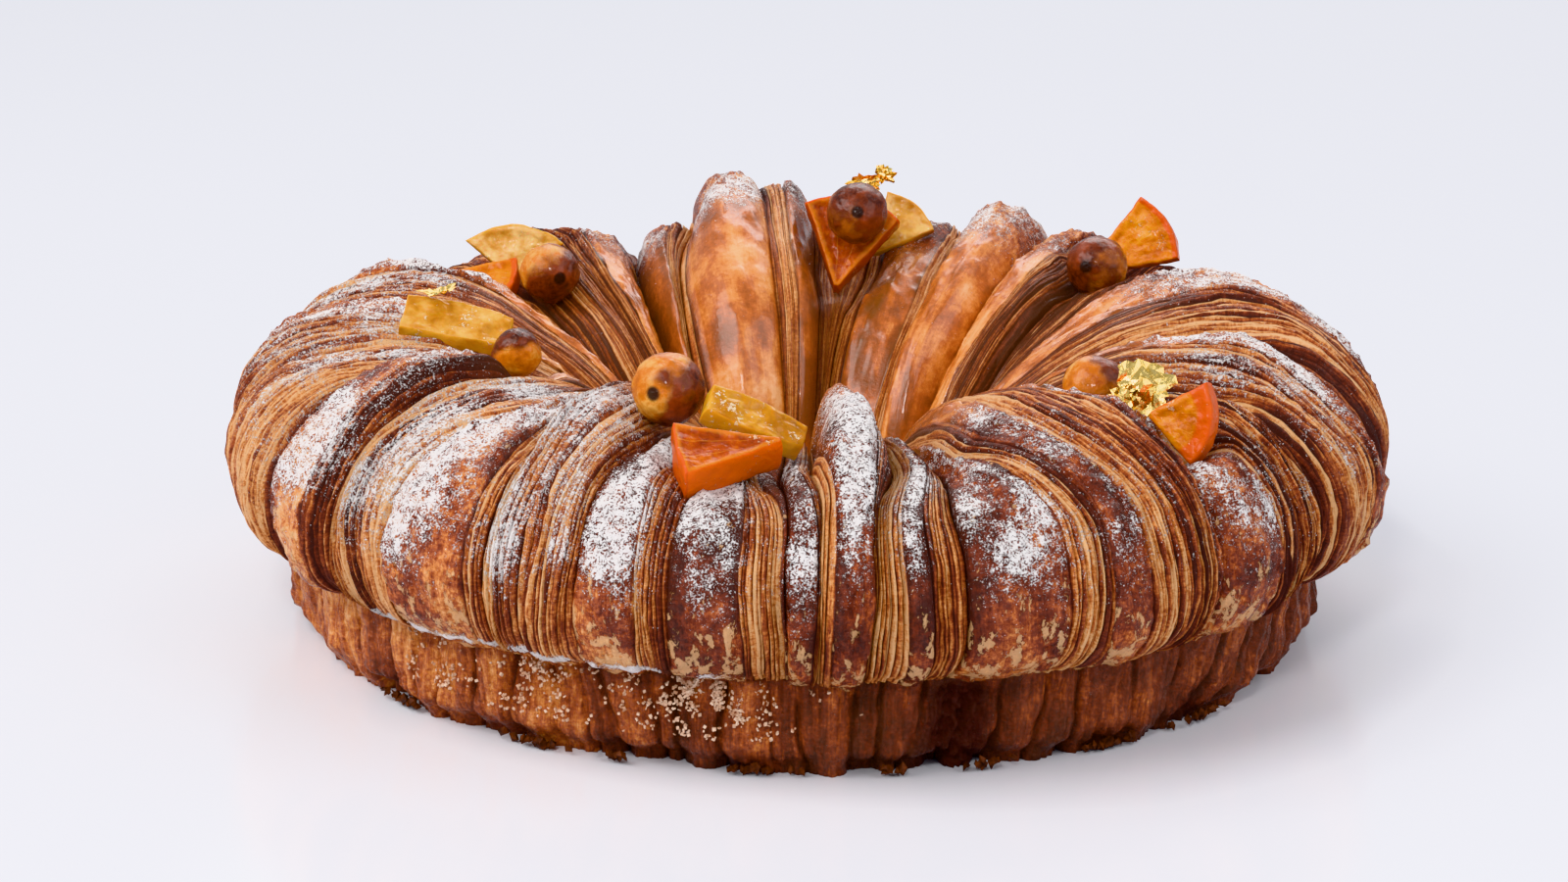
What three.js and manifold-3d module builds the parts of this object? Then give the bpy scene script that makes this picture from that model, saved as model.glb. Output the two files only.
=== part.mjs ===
// A round brioche king cake of laminated dough, baked in a plain ring of a tin.
// Millimetres, +Z up. The cake stands on z = 0 and its front faces -Y.
// One solid is the loaf: a straight band pressed by the tin, and above it the
// folds of dough that run from the hole over the crest down to the tin's rim.
// Six groups of whole caramelised hazelnuts and candied fruit lie on the crest.
import * as THREE from "three";
import Module from "manifold-3d";
import { mergeVertices } from "three/addons/utils/BufferGeometryUtils.js";

const wasm = await Module();
wasm.setup();

// Driving dimensions of the loaf.
const TIN_RADIUS = 110;
const BAND_HEIGHT = 21;
const HOLE_RADIUS = 28.5;
const BULGE = { radius: 121, height: 37 };
const CREST = { radius: 88, height: 62 };
const LEDGE = 2;
const FOOT_RADIUS = 101;
const THROAT_HEIGHT = 6;
const CREASE_DEPTH = 1.1;
const FOOT_SCALLOP = 1.6;
const GAP = 0.3;

// The folds, round the ring by azimuth (270 degrees is the front). hole, crest
// and seam are where the valley before a fold stands in the hole, at the crest
// and at the tin's rim, lift and rim are how far the fold stands over the mean
// form at the crest and the rim, valley how deep that valley is cut, and ridge
// where the fold is highest between its two valleys.
const FOLDS = [
  { hole: -14, crest: -4, seam: -13, lift: 4, rim: 2, valley: 8, ridge: 0.75 },
  { hole: 4, crest: 23, seam: 15, lift: 0.5, rim: 0.5, valley: 5, ridge: 0.3 },
  { hole: 24, crest: 43, seam: 42, lift: 3.5, rim: 0, valley: 3, ridge: 0.3 },
  { hole: 43, crest: 54.3, seam: 59.5, lift: 6.2, rim: 1, valley: 5, ridge: 0.56 },
  { hole: 60.5, crest: 66.5, seam: 71, lift: -0.7, rim: 0, valley: 1.5, ridge: 0.4 },
  { hole: 84, crest: 79.5, seam: 81.5, lift: -2, rim: -1, valley: 3, ridge: 0.5 },
  { hole: 86.5, crest: 89.8, seam: 89, lift: 9, rim: 0.5, valley: 1, ridge: 0.66 },
  { hole: 100, crest: 97.8, seam: 96, lift: 10, rim: 2, valley: 1.2, ridge: 0.4 },
  { hole: 130, crest: 107.8, seam: 103.5, lift: -0.5, rim: -3, valley: 1.2, ridge: 0.25 },
  { hole: 132, crest: 116.8, seam: 110.5, lift: 1, rim: 0, valley: 10.5, ridge: 0.65 },
  { hole: 156, crest: 140, seam: 136, lift: -6.5, rim: -1, valley: 2, ridge: 0.5 },
  { hole: 165, crest: 151, seam: 154, lift: 1, rim: 1, valley: 3, ridge: 0.3 },
  { hole: 176, crest: 170, seam: 168, lift: -1, rim: 0, valley: 3.5, ridge: 0.5 },
  { hole: 189, crest: 189, seam: 184, lift: 0, rim: 0.5, valley: 3.5, ridge: 0.4 },
  { hole: 207, crest: 207, seam: 203, lift: 2.5, rim: 0, valley: 3, ridge: 0.6 },
  { hole: 216.5, crest: 216.5, seam: 219, lift: 1, rim: 1, valley: 8, ridge: 0.3 },
  { hole: 239.5, crest: 239.5, seam: 240, lift: 4, rim: 0.5, valley: 4, ridge: 0.2 },
  { hole: 250, crest: 250, seam: 249.5, lift: -3, rim: 0.5, valley: 2.5, ridge: 0.45 },
  { hole: 258, crest: 258, seam: 258, lift: -4, rim: 0, valley: 3.5, ridge: 0.4 },
  { hole: 267, crest: 267, seam: 268.5, lift: -4, rim: 0.5, valley: 2.5, ridge: 0.5 },
  { hole: 270.5, crest: 270.5, seam: 271.3, lift: 6, rim: 1, valley: 3, ridge: 0.5 },
  { hole: 280, crest: 280, seam: 276.4, lift: -4, rim: 0, valley: 3, ridge: 0.5 },
  { hole: 286, crest: 286, seam: 284.5, lift: 4, rim: 1, valley: 4, ridge: 0.85 },
  { hole: 311, crest: 311, seam: 311, lift: -1, rim: 0.5, valley: 6, ridge: 0.35 },
  { hole: 336, crest: 336, seam: 330, lift: 2, rim: 0.5, valley: 8, ridge: 0.55 },
];
// A valley is this much shallower at the rim than at the crest.
const RIM_SHARE = 0.55;
// The toppings, each group from its lowest piece up. size is [diameter] for a
// nut and [length, width, bow, thickness] for a wedge, whose length runs from its
// point to the rind, and for a strip. place is x and y over the loaf, sink how far
// the crust is pressed in here, and turn the angles about x, y and z in degrees.
const TOPPINGS = [
  ["orange_front", "wedge", [19.6, 13.8, 0.5, 7.5], [-14.4, -97], 3, [28, 4, 192]],
  ["citron_front", "strip", [20, 6.6, 1.6, 5], [-10, -82.5], 3.2, [34, 22, -8]],
  ["hazelnut_front", "nut", [14], [-26.6, -75.5], 0, [95, 10, 20]],
  ["citron_left", "strip", [22.5, 9.5, 1.2, 4.2], [-72.4, -15.6], 1.5, [32, 6, -5]],
  ["hazelnut_left", "nut", [10], [-58.6, -35], 5, [40, 0, 60]],
  ["orange_back_left", "wedge", [16, 14, 1.5, 4.5], [-73, 43], 4.4, [28, -6, -8]],
  ["citron_back_left", "wedge", [8, 22, 4, 4], [-66, 53.2], 1.7, [70, 4, 90]],
  ["hazelnut_back_left", "nut", [13], [-57, 38.6], 0, [70, 20, 0]],
  ["orange_back", "wedge", [18.5, 22, 3.6, 6], [8, 67], 3.8, [58, 0, 79]],
  ["citron_back", "wedge", [13.2, 14.4, 2, 3.6], [19.3, 79], 0.5, [60, 0, 50]],
  ["hazelnut_back", "nut", [13.6], [10.4, 60.8], 1, [100, 0, 10]],
  ["orange_back_right", "wedge", [20, 16.5, 2.4, 5.5], [70.8, 57], 8.4, [70, -12, 30]],
  ["hazelnut_back_right", "nut", [13.4], [63.5, 45], 2, [80, 30, 0]],
  ["orange_right", "wedge", [10, 16.5, 3, 5], [72.2, -71], 8.5, [72, -25, -10]],
  ["hazelnut_right", "nut", [12.4], [56.2, -51.5], 4.5, [20, 60, 0]],
].map(([name, shape, size, place, sink, turn]) => ({ name, shape, size, place, sink, turn }));
// The crust is sunk this far past the ends of a topping.
const NEST_MARGIN = 2.5;

// Where a fold is sampled from one valley to the next.
const ACROSS = [0, 0.07, 0.2, 0.36, 0.52, 0.68, 0.83, 0.94];
const SHOULDER = 2.4;

const radians = THREE.MathUtils.degToRad;

// ---- the loaf's section, from the foot of the hole to the outer foot -------
function quarterArc(centre, reach, fromDegrees, toDegrees, count) {
  const points = [];
  for (let i = 0; i < count; i += 1) {
    const angle = radians(fromDegrees + ((toDegrees - fromDegrees) * i) / (count - 1));
    const r = centre.r + reach.r * Math.cos(angle);
    const z = centre.z + reach.z * Math.sin(angle);
    const out = new THREE.Vector2(Math.cos(angle) / reach.r, Math.sin(angle) / reach.z).normalize();
    points.push({ r, z, out });
  }
  return points;
}

function sectionRows() {
  const inner = quarterArc(
    { r: CREST.radius, z: THROAT_HEIGHT },
    { r: CREST.radius - HOLE_RADIUS, z: CREST.height - THROAT_HEIGHT },
    180, 90, 7,
  );
  const outer = quarterArc(
    { r: CREST.radius, z: BULGE.height },
    { r: BULGE.radius - CREST.radius, z: CREST.height - BULGE.height },
    90, 0, 5,
  ).slice(1);
  const under = quarterArc(
    { r: TIN_RADIUS, z: BULGE.height },
    { r: BULGE.radius - TIN_RADIUS, z: BULGE.height - BAND_HEIGHT - 0.5 },
    0, -80, 3,
  ).slice(1);
  const rise = [0, 0.5, 0.8, 1, 1, 1, 1];
  inner.forEach((row, i) => { row.rise = rise[i]; });
  outer.forEach((row) => { row.rise = 1; });
  under.forEach((row, i) => { row.rise = [0.75, 0.4][i]; });
  const flat = new THREE.Vector2(1, 0);
  const wall = [
    { r: TIN_RADIUS - LEDGE, z: BAND_HEIGHT - 0.5, out: flat, rise: 0, crease: 0.5 },
    { r: TIN_RADIUS - LEDGE - 1, z: 11, out: flat, rise: 0, crease: 1 },
    { r: TIN_RADIUS - LEDGE - 2.5, z: 4, out: flat, rise: 0, crease: 1, scallop: 1 },
    { r: FOOT_RADIUS, z: 0, out: flat, rise: 0, crease: 1 },
  ];
  const foot = [{ r: HOLE_RADIUS + 1, z: 0, out: new THREE.Vector2(-1, 0), rise: 0 }];
  return [...foot, ...inner, ...outer, ...under, ...wall];
}

// ---- the folds ---------------------------------------------------------------
function standAt(fold, towardRim) {
  return THREE.MathUtils.lerp(fold.lift, fold.rim, towardRim);
}

function valleyHeight(index, towardRim) {
  const before = FOLDS[(index + FOLDS.length - 1) % FOLDS.length];
  const fold = FOLDS[index];
  const depth = fold.valley * THREE.MathUtils.lerp(1, RIM_SHARE, towardRim);
  return Math.min(standAt(before, towardRim), standAt(fold, towardRim)) - depth;
}

// How far the surface stands over the mean form, at a share of the fold's width.
function foldHeight(index, share, towardRim) {
  const fold = FOLDS[index];
  const top = standAt(fold, towardRim);
  const onLeft = share < fold.ridge;
  const floor = valleyHeight(onLeft ? index : (index + 1) % FOLDS.length, towardRim);
  const away = onLeft ? (fold.ridge - share) / fold.ridge : (share - fold.ridge) / (1 - fold.ridge);
  return floor + (top - floor) * (1 - away ** SHOULDER);
}

// How far the toppings have sunk the crust here.
function pressedIn(x, y) {
  return TOPPINGS.reduce((depth, spec) => {
    const reach = spec.size[0] / 2 + NEST_MARGIN;
    const apart = Math.hypot(x - spec.place[0], y - spec.place[1]) / reach;
    return Math.max(depth, spec.sink * Math.exp(-(apart ** 4)));
  }, 0);
}

// The azimuth at a share of a fold's width. The folds twist from the hole to the
// crest and again from there to the tin's rim.
function azimuthAt(index, share, towardHole, towardRim) {
  const line = (fold) => {
    const above = THREE.MathUtils.lerp(fold.crest, fold.hole, towardHole);
    return THREE.MathUtils.lerp(above, fold.seam, towardRim);
  };
  const turn = index === FOLDS.length - 1 ? 360 : 0;
  const start = line(FOLDS[index]);
  const end = line(FOLDS[(index + 1) % FOLDS.length]) + turn;
  return radians(start + (end - start) * share);
}

function ringGeometry() {
  const rows = sectionRows();
  const columns = FOLDS.length * ACROSS.length;
  const vertices = [];
  FOLDS.forEach((fold, index) => {
    ACROSS.forEach((share) => {
      const inValley = Math.abs(2 * share - 1) ** 6;
      rows.forEach((row) => {
        const overTin = THREE.MathUtils.smoothstep(row.r, CREST.radius, BULGE.radius - 4);
        const towardRim = row.crease ? 1 : overTin;
        const towardHole = Math.max(CREST.radius - row.r, 0) / (CREST.radius - HOLE_RADIUS);
        const angle = azimuthAt(index, share, towardHole, towardRim);
        const sunk = pressedIn(row.r * Math.cos(angle), row.r * Math.sin(angle));
        const lift = foldHeight(index, share, towardRim) - sunk;
        const crease = CREASE_DEPTH * (row.crease ?? 0) * inValley;
        const r = row.r + row.out.x * lift * row.rise - crease;
        const z = row.z + row.out.y * lift * row.rise + FOOT_SCALLOP * (row.scallop ?? 0) * inValley;
        vertices.push(r * Math.cos(angle), r * Math.sin(angle), z);
      });
    });
  });
  const faces = [];
  for (let c = 0; c < columns; c += 1) {
    for (let k = 0; k < rows.length; k += 1) {
      const above = (k + 1) % rows.length;
      const a = c * rows.length + k;
      const b = ((c + 1) % columns) * rows.length + k;
      const d = c * rows.length + above;
      const e = ((c + 1) % columns) * rows.length + above;
      faces.push(a, e, b, a, d, e);
    }
  }
  const geometry = new THREE.BufferGeometry();
  geometry.setAttribute("position", new THREE.Float32BufferAttribute(vertices, 3));
  geometry.setIndex(faces);
  return geometry;
}

// ---- toppings ------------------------------------------------------------------
// A hazelnut: a ball with a pointed tip above and a flat scar below.
function hazelnutGeometry([diameter]) {
  const geometry = new THREE.SphereGeometry(diameter / 2, 14, 9);
  const place = geometry.getAttribute("position");
  for (let i = 0; i < place.count; i += 1) {
    const height = place.getY(i) / (diameter / 2);
    const tip = 1 + 0.1 * Math.max(height, 0) ** 6;
    const scar = height < -0.8 ? 0.93 : 1;
    const waist = 1 + 0.02 * Math.sin(3 * Math.atan2(place.getZ(i), place.getX(i)));
    place.setXYZ(i, place.getX(i) * waist, place.getY(i) * tip * scar, place.getZ(i) * waist);
  }
  geometry.rotateX(Math.PI / 2);
  return geometry;
}

function extruded(shape, thickness) {
  const bevel = 0.7;
  const geometry = new THREE.ExtrudeGeometry(shape, {
    depth: thickness - 2 * bevel,
    bevelThickness: bevel,
    bevelSize: bevel,
    bevelOffset: -bevel,
    bevelSegments: 1,
    curveSegments: 5,
  });
  geometry.center();
  return geometry;
}

// A wedge cut from a round slice: two straight cuts and the bowed rind.
function wedgeGeometry([length, width, bow, thickness]) {
  const shape = new THREE.Shape();
  shape.moveTo(0, -0.6);
  shape.lineTo(length, -width / 2);
  shape.quadraticCurveTo(length + 2 * bow, 0, length, width / 2);
  shape.lineTo(0, 0.6);
  return extruded(shape, thickness);
}

// A half slice, or a strip of peel that is bowed a little.
function stripGeometry([length, width, bow, thickness]) {
  const half = length / 2;
  const shape = new THREE.Shape();
  shape.moveTo(-half, 0);
  shape.quadraticCurveTo(0, -bow, half, 0);
  shape.lineTo(half, width * 0.8);
  shape.quadraticCurveTo(0, width + bow, -half, width);
  return extruded(shape, thickness);
}

// ---- solids that rest on one another -------------------------------------------
function solidOf(mesh) {
  mesh.updateWorldMatrix(true, false);
  const bare = mesh.geometry.clone().applyMatrix4(mesh.matrixWorld);
  bare.deleteAttribute("normal");
  bare.deleteAttribute("uv");
  const merged = mergeVertices(bare, 1e-4);
  return new wasm.Manifold(new wasm.Mesh({
    numProp: 3,
    vertProperties: new Float32Array(merged.getAttribute("position").array),
    triVerts: new Uint32Array(merged.index.array),
  }));
}

// Lowers a mesh until it touches what is below, then leaves the usual gap.
function restOn(mesh, below) {
  let free = 30;
  let stuck = -30;
  for (let step = 0; step < 14; step += 1) {
    const middle = (free + stuck) / 2;
    mesh.position.z = mesh.userData.startHeight + middle;
    const touches = below.some((solid) => !solid.intersect(solidOf(mesh)).isEmpty());
    if (touches) {
      stuck = middle;
    } else {
      free = middle;
    }
  }
  mesh.position.z = mesh.userData.startHeight + free + GAP;
}

const material = (color, roughness) => new THREE.MeshStandardMaterial({ color, roughness, metalness: 0 });
const CRUST = material(0x9c5226, 0.55);
const NUT = material(0xc98a3c, 0.35);
const ORANGE = material(0xdd6a10, 0.3);
const CITRON = material(0xc9981c, 0.3);

const cake = new THREE.Group();
const ring = new THREE.Mesh(ringGeometry(), CRUST);
ring.name = "brioche_ring";
cake.add(ring);

const SHAPES = { nut: hazelnutGeometry, wedge: wedgeGeometry, strip: stripGeometry };
const FLAVOURS = { hazelnut: NUT, orange: ORANGE, citron: CITRON };

const START_HEIGHT = 70;
const resting = [solidOf(ring)];
TOPPINGS.forEach((spec) => {
  const flavour = FLAVOURS[spec.name.split("_")[0]];
  const mesh = new THREE.Mesh(SHAPES[spec.shape](spec.size), flavour);
  mesh.name = spec.name;
  mesh.position.set(spec.place[0], spec.place[1], START_HEIGHT);
  mesh.rotation.set(...spec.turn.map(radians));
  mesh.userData.startHeight = START_HEIGHT;
  restOn(mesh, resting);
  cake.add(mesh);
  resting.push(solidOf(mesh));
});

// The origin is under the middle of the cake's bounds.
const bounds = new THREE.Box3().setFromObject(cake, true);
cake.position.set(-(bounds.min.x + bounds.max.x) / 2, -(bounds.min.y + bounds.max.y) / 2, 0);

export default cake;
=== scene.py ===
# %% [markdown]
# # A brioche king cake with candied fruit and hazelnuts
#
# This file builds the looks of a round laminated brioche: a ring of dough folds
# over a band that a tin has pressed, six groups of hazelnuts and candied fruit,
# icing sugar, gold leaf and crumbs. The measured model gives the size and the
# place of each piece. Blender adds what the eye reads as pastry: thin layers at
# the cut edges, a glossy blistered skin, and sugar that lies only where it can.

# %% Load the measured model
import bpy
import math
import itertools
import numpy as np
from collections import namedtuple
from types import SimpleNamespace
from mathutils import Matrix, Vector


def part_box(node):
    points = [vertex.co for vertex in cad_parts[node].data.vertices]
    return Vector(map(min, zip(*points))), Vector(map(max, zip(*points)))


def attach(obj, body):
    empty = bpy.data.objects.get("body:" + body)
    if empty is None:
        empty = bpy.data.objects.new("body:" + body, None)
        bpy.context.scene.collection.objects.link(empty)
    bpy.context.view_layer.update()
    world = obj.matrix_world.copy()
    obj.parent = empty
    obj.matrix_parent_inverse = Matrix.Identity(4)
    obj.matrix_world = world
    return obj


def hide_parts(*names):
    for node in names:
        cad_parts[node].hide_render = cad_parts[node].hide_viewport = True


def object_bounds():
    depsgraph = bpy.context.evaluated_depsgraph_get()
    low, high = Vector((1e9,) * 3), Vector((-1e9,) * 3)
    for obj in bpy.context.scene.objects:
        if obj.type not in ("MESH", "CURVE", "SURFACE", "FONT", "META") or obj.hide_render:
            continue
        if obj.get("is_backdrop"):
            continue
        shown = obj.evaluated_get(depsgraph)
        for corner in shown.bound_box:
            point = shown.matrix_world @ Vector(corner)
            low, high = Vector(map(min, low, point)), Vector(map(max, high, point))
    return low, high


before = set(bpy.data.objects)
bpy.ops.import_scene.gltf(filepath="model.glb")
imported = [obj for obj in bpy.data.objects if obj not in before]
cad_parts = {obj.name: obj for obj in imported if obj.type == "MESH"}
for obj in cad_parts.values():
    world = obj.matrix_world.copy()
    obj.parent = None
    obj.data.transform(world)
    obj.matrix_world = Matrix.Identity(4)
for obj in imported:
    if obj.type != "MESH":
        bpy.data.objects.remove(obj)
start_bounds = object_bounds()
root = "root"
print("measured nodes:", len(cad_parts))

# %% [markdown]
# ## Sizes
#
# Everything is written in millimetres round the ring's own axis, since a baker
# would measure it so, and turned into Blender's metres in one place only. The
# ring's axis is not quite the middle of the whole cake, because some folds swell
# further out than others, so that small shift is named too.

# %% Sizes and the shift of the axis
MM = 0.001
AXIS = np.array([-0.8988, 0.0700, 0.0])
CREST_RADIUS, CREST_HEIGHT = 88.0, 62.0
BULGE_RADIUS, BULGE_HEIGHT = 121.0, 37.0
HOLE_RADIUS, THROAT_HEIGHT = 28.5, 6.0
TIN_RADIUS, BAND_HEIGHT = 110.0, 21.0
WALL_RADIUS = 107.0  # the wall of the pressed band
WIDTH_RADIUS, WANDER_RADIUS = 112.0, 118.0  # where a fold's width and its wander are measured
COARSER = 1


def to_metres(points):
    """Points in millimetres round the ring's axis, as metres in the row frame."""
    return (np.asarray(points, dtype=float) + AXIS) * MM


def round_axis(radius, angle, height):
    """Points from their distance from the axis, their angle and their height."""
    places = radius * np.cos(angle), radius * np.sin(angle), height
    return np.stack(np.broadcast_arrays(*places), axis=-1)


# %% [markdown]
# ## Smooth random fields
#
# Dough is uneven at every scale. A lattice noise gives that: random numbers sit
# on a whole-number grid and are blended smoothly between. Written in numpy it
# works on whole arrays, has no state, and so gives the same cake each time.

# %% Lattice noise
def hashed(seed, cells):
    """A random number from -1 to 1 for each whole-number cell."""
    start = (seed * 7919 + 104729) % 2**32
    h = np.full(np.broadcast(*cells).shape, start, dtype=np.uint32)
    for cell in cells:
        h = (h ^ np.asarray(cell).astype(np.int64).astype(np.uint32)) * np.uint32(2654435761)
        h ^= h >> np.uint32(15)
        h *= np.uint32(2246822519)
        h ^= h >> np.uint32(13)
    return h.astype(float) / 2**31 - 1.0


def noise(seed, *coords):
    """A smooth random field, about -1 to 1, with one cell to each unit."""
    coords = np.broadcast_arrays(*[np.asarray(c, dtype=float) for c in coords])
    cells = [np.floor(c) for c in coords]
    parts = [c - f for c, f in zip(coords, cells)]
    blends = [p * p * (3 - 2 * p) for p in parts]
    total = np.zeros(coords[0].shape)
    for corner in itertools.product((0, 1), repeat=len(coords)):
        weight = 1.0
        for step, blend in zip(corner, blends):
            weight = weight * (blend if step else 1 - blend)
        total += weight * hashed(seed, [f + s for f, s in zip(cells, corner)])
    return total


def rough(seed, octaves, *coords):
    """Noise at several scales, each half as large and half as strong."""
    total, strength = 0.0, 1.0
    for octave in range(octaves):
        finer = [np.asarray(c) * 2**octave for c in coords]
        total = total + strength * noise(seed + octave, *finer)
        strength *= 0.5
    return total


def smoothstep(x, low, high):
    t = np.clip((np.asarray(x, dtype=float) - low) / (high - low), 0, 1)
    return t * t * (3 - 2 * t)


def lerp(a, b, t):
    return a + (b - a) * t


def bell(x, middle, width, power=2):
    """1 at the middle, falling to 0 on both sides."""
    return np.exp(-(((x - middle) / width) ** power))


def degrees_from(degrees, start):
    """The turn from one azimuth to another, from -180 to 180."""
    return (degrees - start + 180) % 360 - 180


# %% [markdown]
# ## Meshes from arrays
#
# Hundreds of thousands of small faces are quickest to make as arrays: one of
# points and one of faces. Numbers that belong to a point, such as how dark the
# crust is there, go with the mesh as attributes, and the materials read them.

# %% Make a mesh object from arrays
def make_object(name, points, faces, attributes=None, smooth=True):
    """A mesh object at the origin, from points in metres and arrays of triangles or quads."""
    mesh = bpy.data.meshes.new(name)
    faces = [np.asarray(f, dtype=np.int32) for f in faces if len(f)]
    sizes = np.concatenate([np.full(len(f), f.shape[1], dtype=np.int32) for f in faces])
    corners = np.concatenate([f.ravel() for f in faces])
    mesh.vertices.add(len(points))
    mesh.vertices.foreach_set("co", np.asarray(points, dtype=np.float32).ravel())
    mesh.loops.add(len(corners))
    mesh.loops.foreach_set("vertex_index", corners)
    mesh.polygons.add(len(sizes))
    starts = np.concatenate([[0], np.cumsum(sizes)[:-1]]).astype(np.int32)
    mesh.polygons.foreach_set("loop_start", starts)
    mesh.polygons.foreach_set("use_smooth", np.full(len(sizes), smooth))
    for key, values in (attributes or {}).items():
        values = np.asarray(values, dtype=np.float32)
        kind, field = ("FLOAT", "value") if values.ndim == 1 else ("FLOAT_VECTOR", "vector")
        mesh.attributes.new(key, kind, "POINT").data.foreach_set(field, values.ravel())
    mesh.update(calc_edges=True)
    mesh.validate()
    return put_in_scene(name, mesh)


def put_in_scene(name, data):
    made = bpy.data.objects.new(name, data)
    bpy.context.scene.collection.objects.link(made)
    return made


def patch_faces(number):
    """The quads between neighbours in a grid of point numbers."""
    corners = number[:-1, :-1], number[:-1, 1:], number[1:, 1:], number[1:, :-1]
    return np.stack(corners, -1).reshape(-1, 4)


def volume_cm3(made):
    """The closed volume of a mesh object, which is positive when its faces look outward."""
    mesh = made.data
    mesh.calc_loop_triangles()
    places = np.empty(len(mesh.vertices) * 3)
    mesh.vertices.foreach_get("co", places)
    places = places.reshape(-1, 3)
    corners = np.empty(len(mesh.loop_triangles) * 3, dtype=np.int32)
    mesh.loop_triangles.foreach_get("vertices", corners)
    a, b, c = (places[corners.reshape(-1, 3)[:, i]] for i in range(3))
    return float(np.einsum("ij,ij->i", a, np.cross(b, c)).sum() / 6 * 1e6)


# %% [markdown]
# ## The folds, one row each
#
# The dough was cut and rolled before it was laid in the tin, so each fold shows
# two kinds of surface side by side: the rolled skin, brushed with egg and
# glossy, and the cut edge, where every layer of the dough stands out as a thin
# flake. A fold is therefore written as a few strips across its width. Each strip
# ends at a share of the width, and has a kind, a tone (0 is pale tan, 1 is
# almost black) and how much sugar lies on it. A fifth number is the share where
# it ends at the crest, when the strip fans out on its way down to the rim.
#
# Each fold also has three azimuths in degrees, with the front at 270: those of the
# valley before it in the hole, at the crest and at the tin's rim. lift and rim are
# how far it stands over the mean form at the last two, valley is how deep that
# valley is, and ridge is the share of the width where it stands highest. lean tips
# its top sideways in millimetres, so that its lip hangs over. The lower its sugar
# is, the further down its side the icing sugar lies.

# %% The table of folds
def laid(azimuths, lift, rim, valley, ridge, *strips, lean=0, sugar=0.45):
    """One fold. lean and sugar are given only where they are unusual."""
    hole, crest, seam = azimuths
    return dict(hole=hole, crest=crest, seam=seam, lift=lift, rim=rim, valley=valley, ridge=ridge,
                strips=strips, lean=lean, sugar=sugar)


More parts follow.
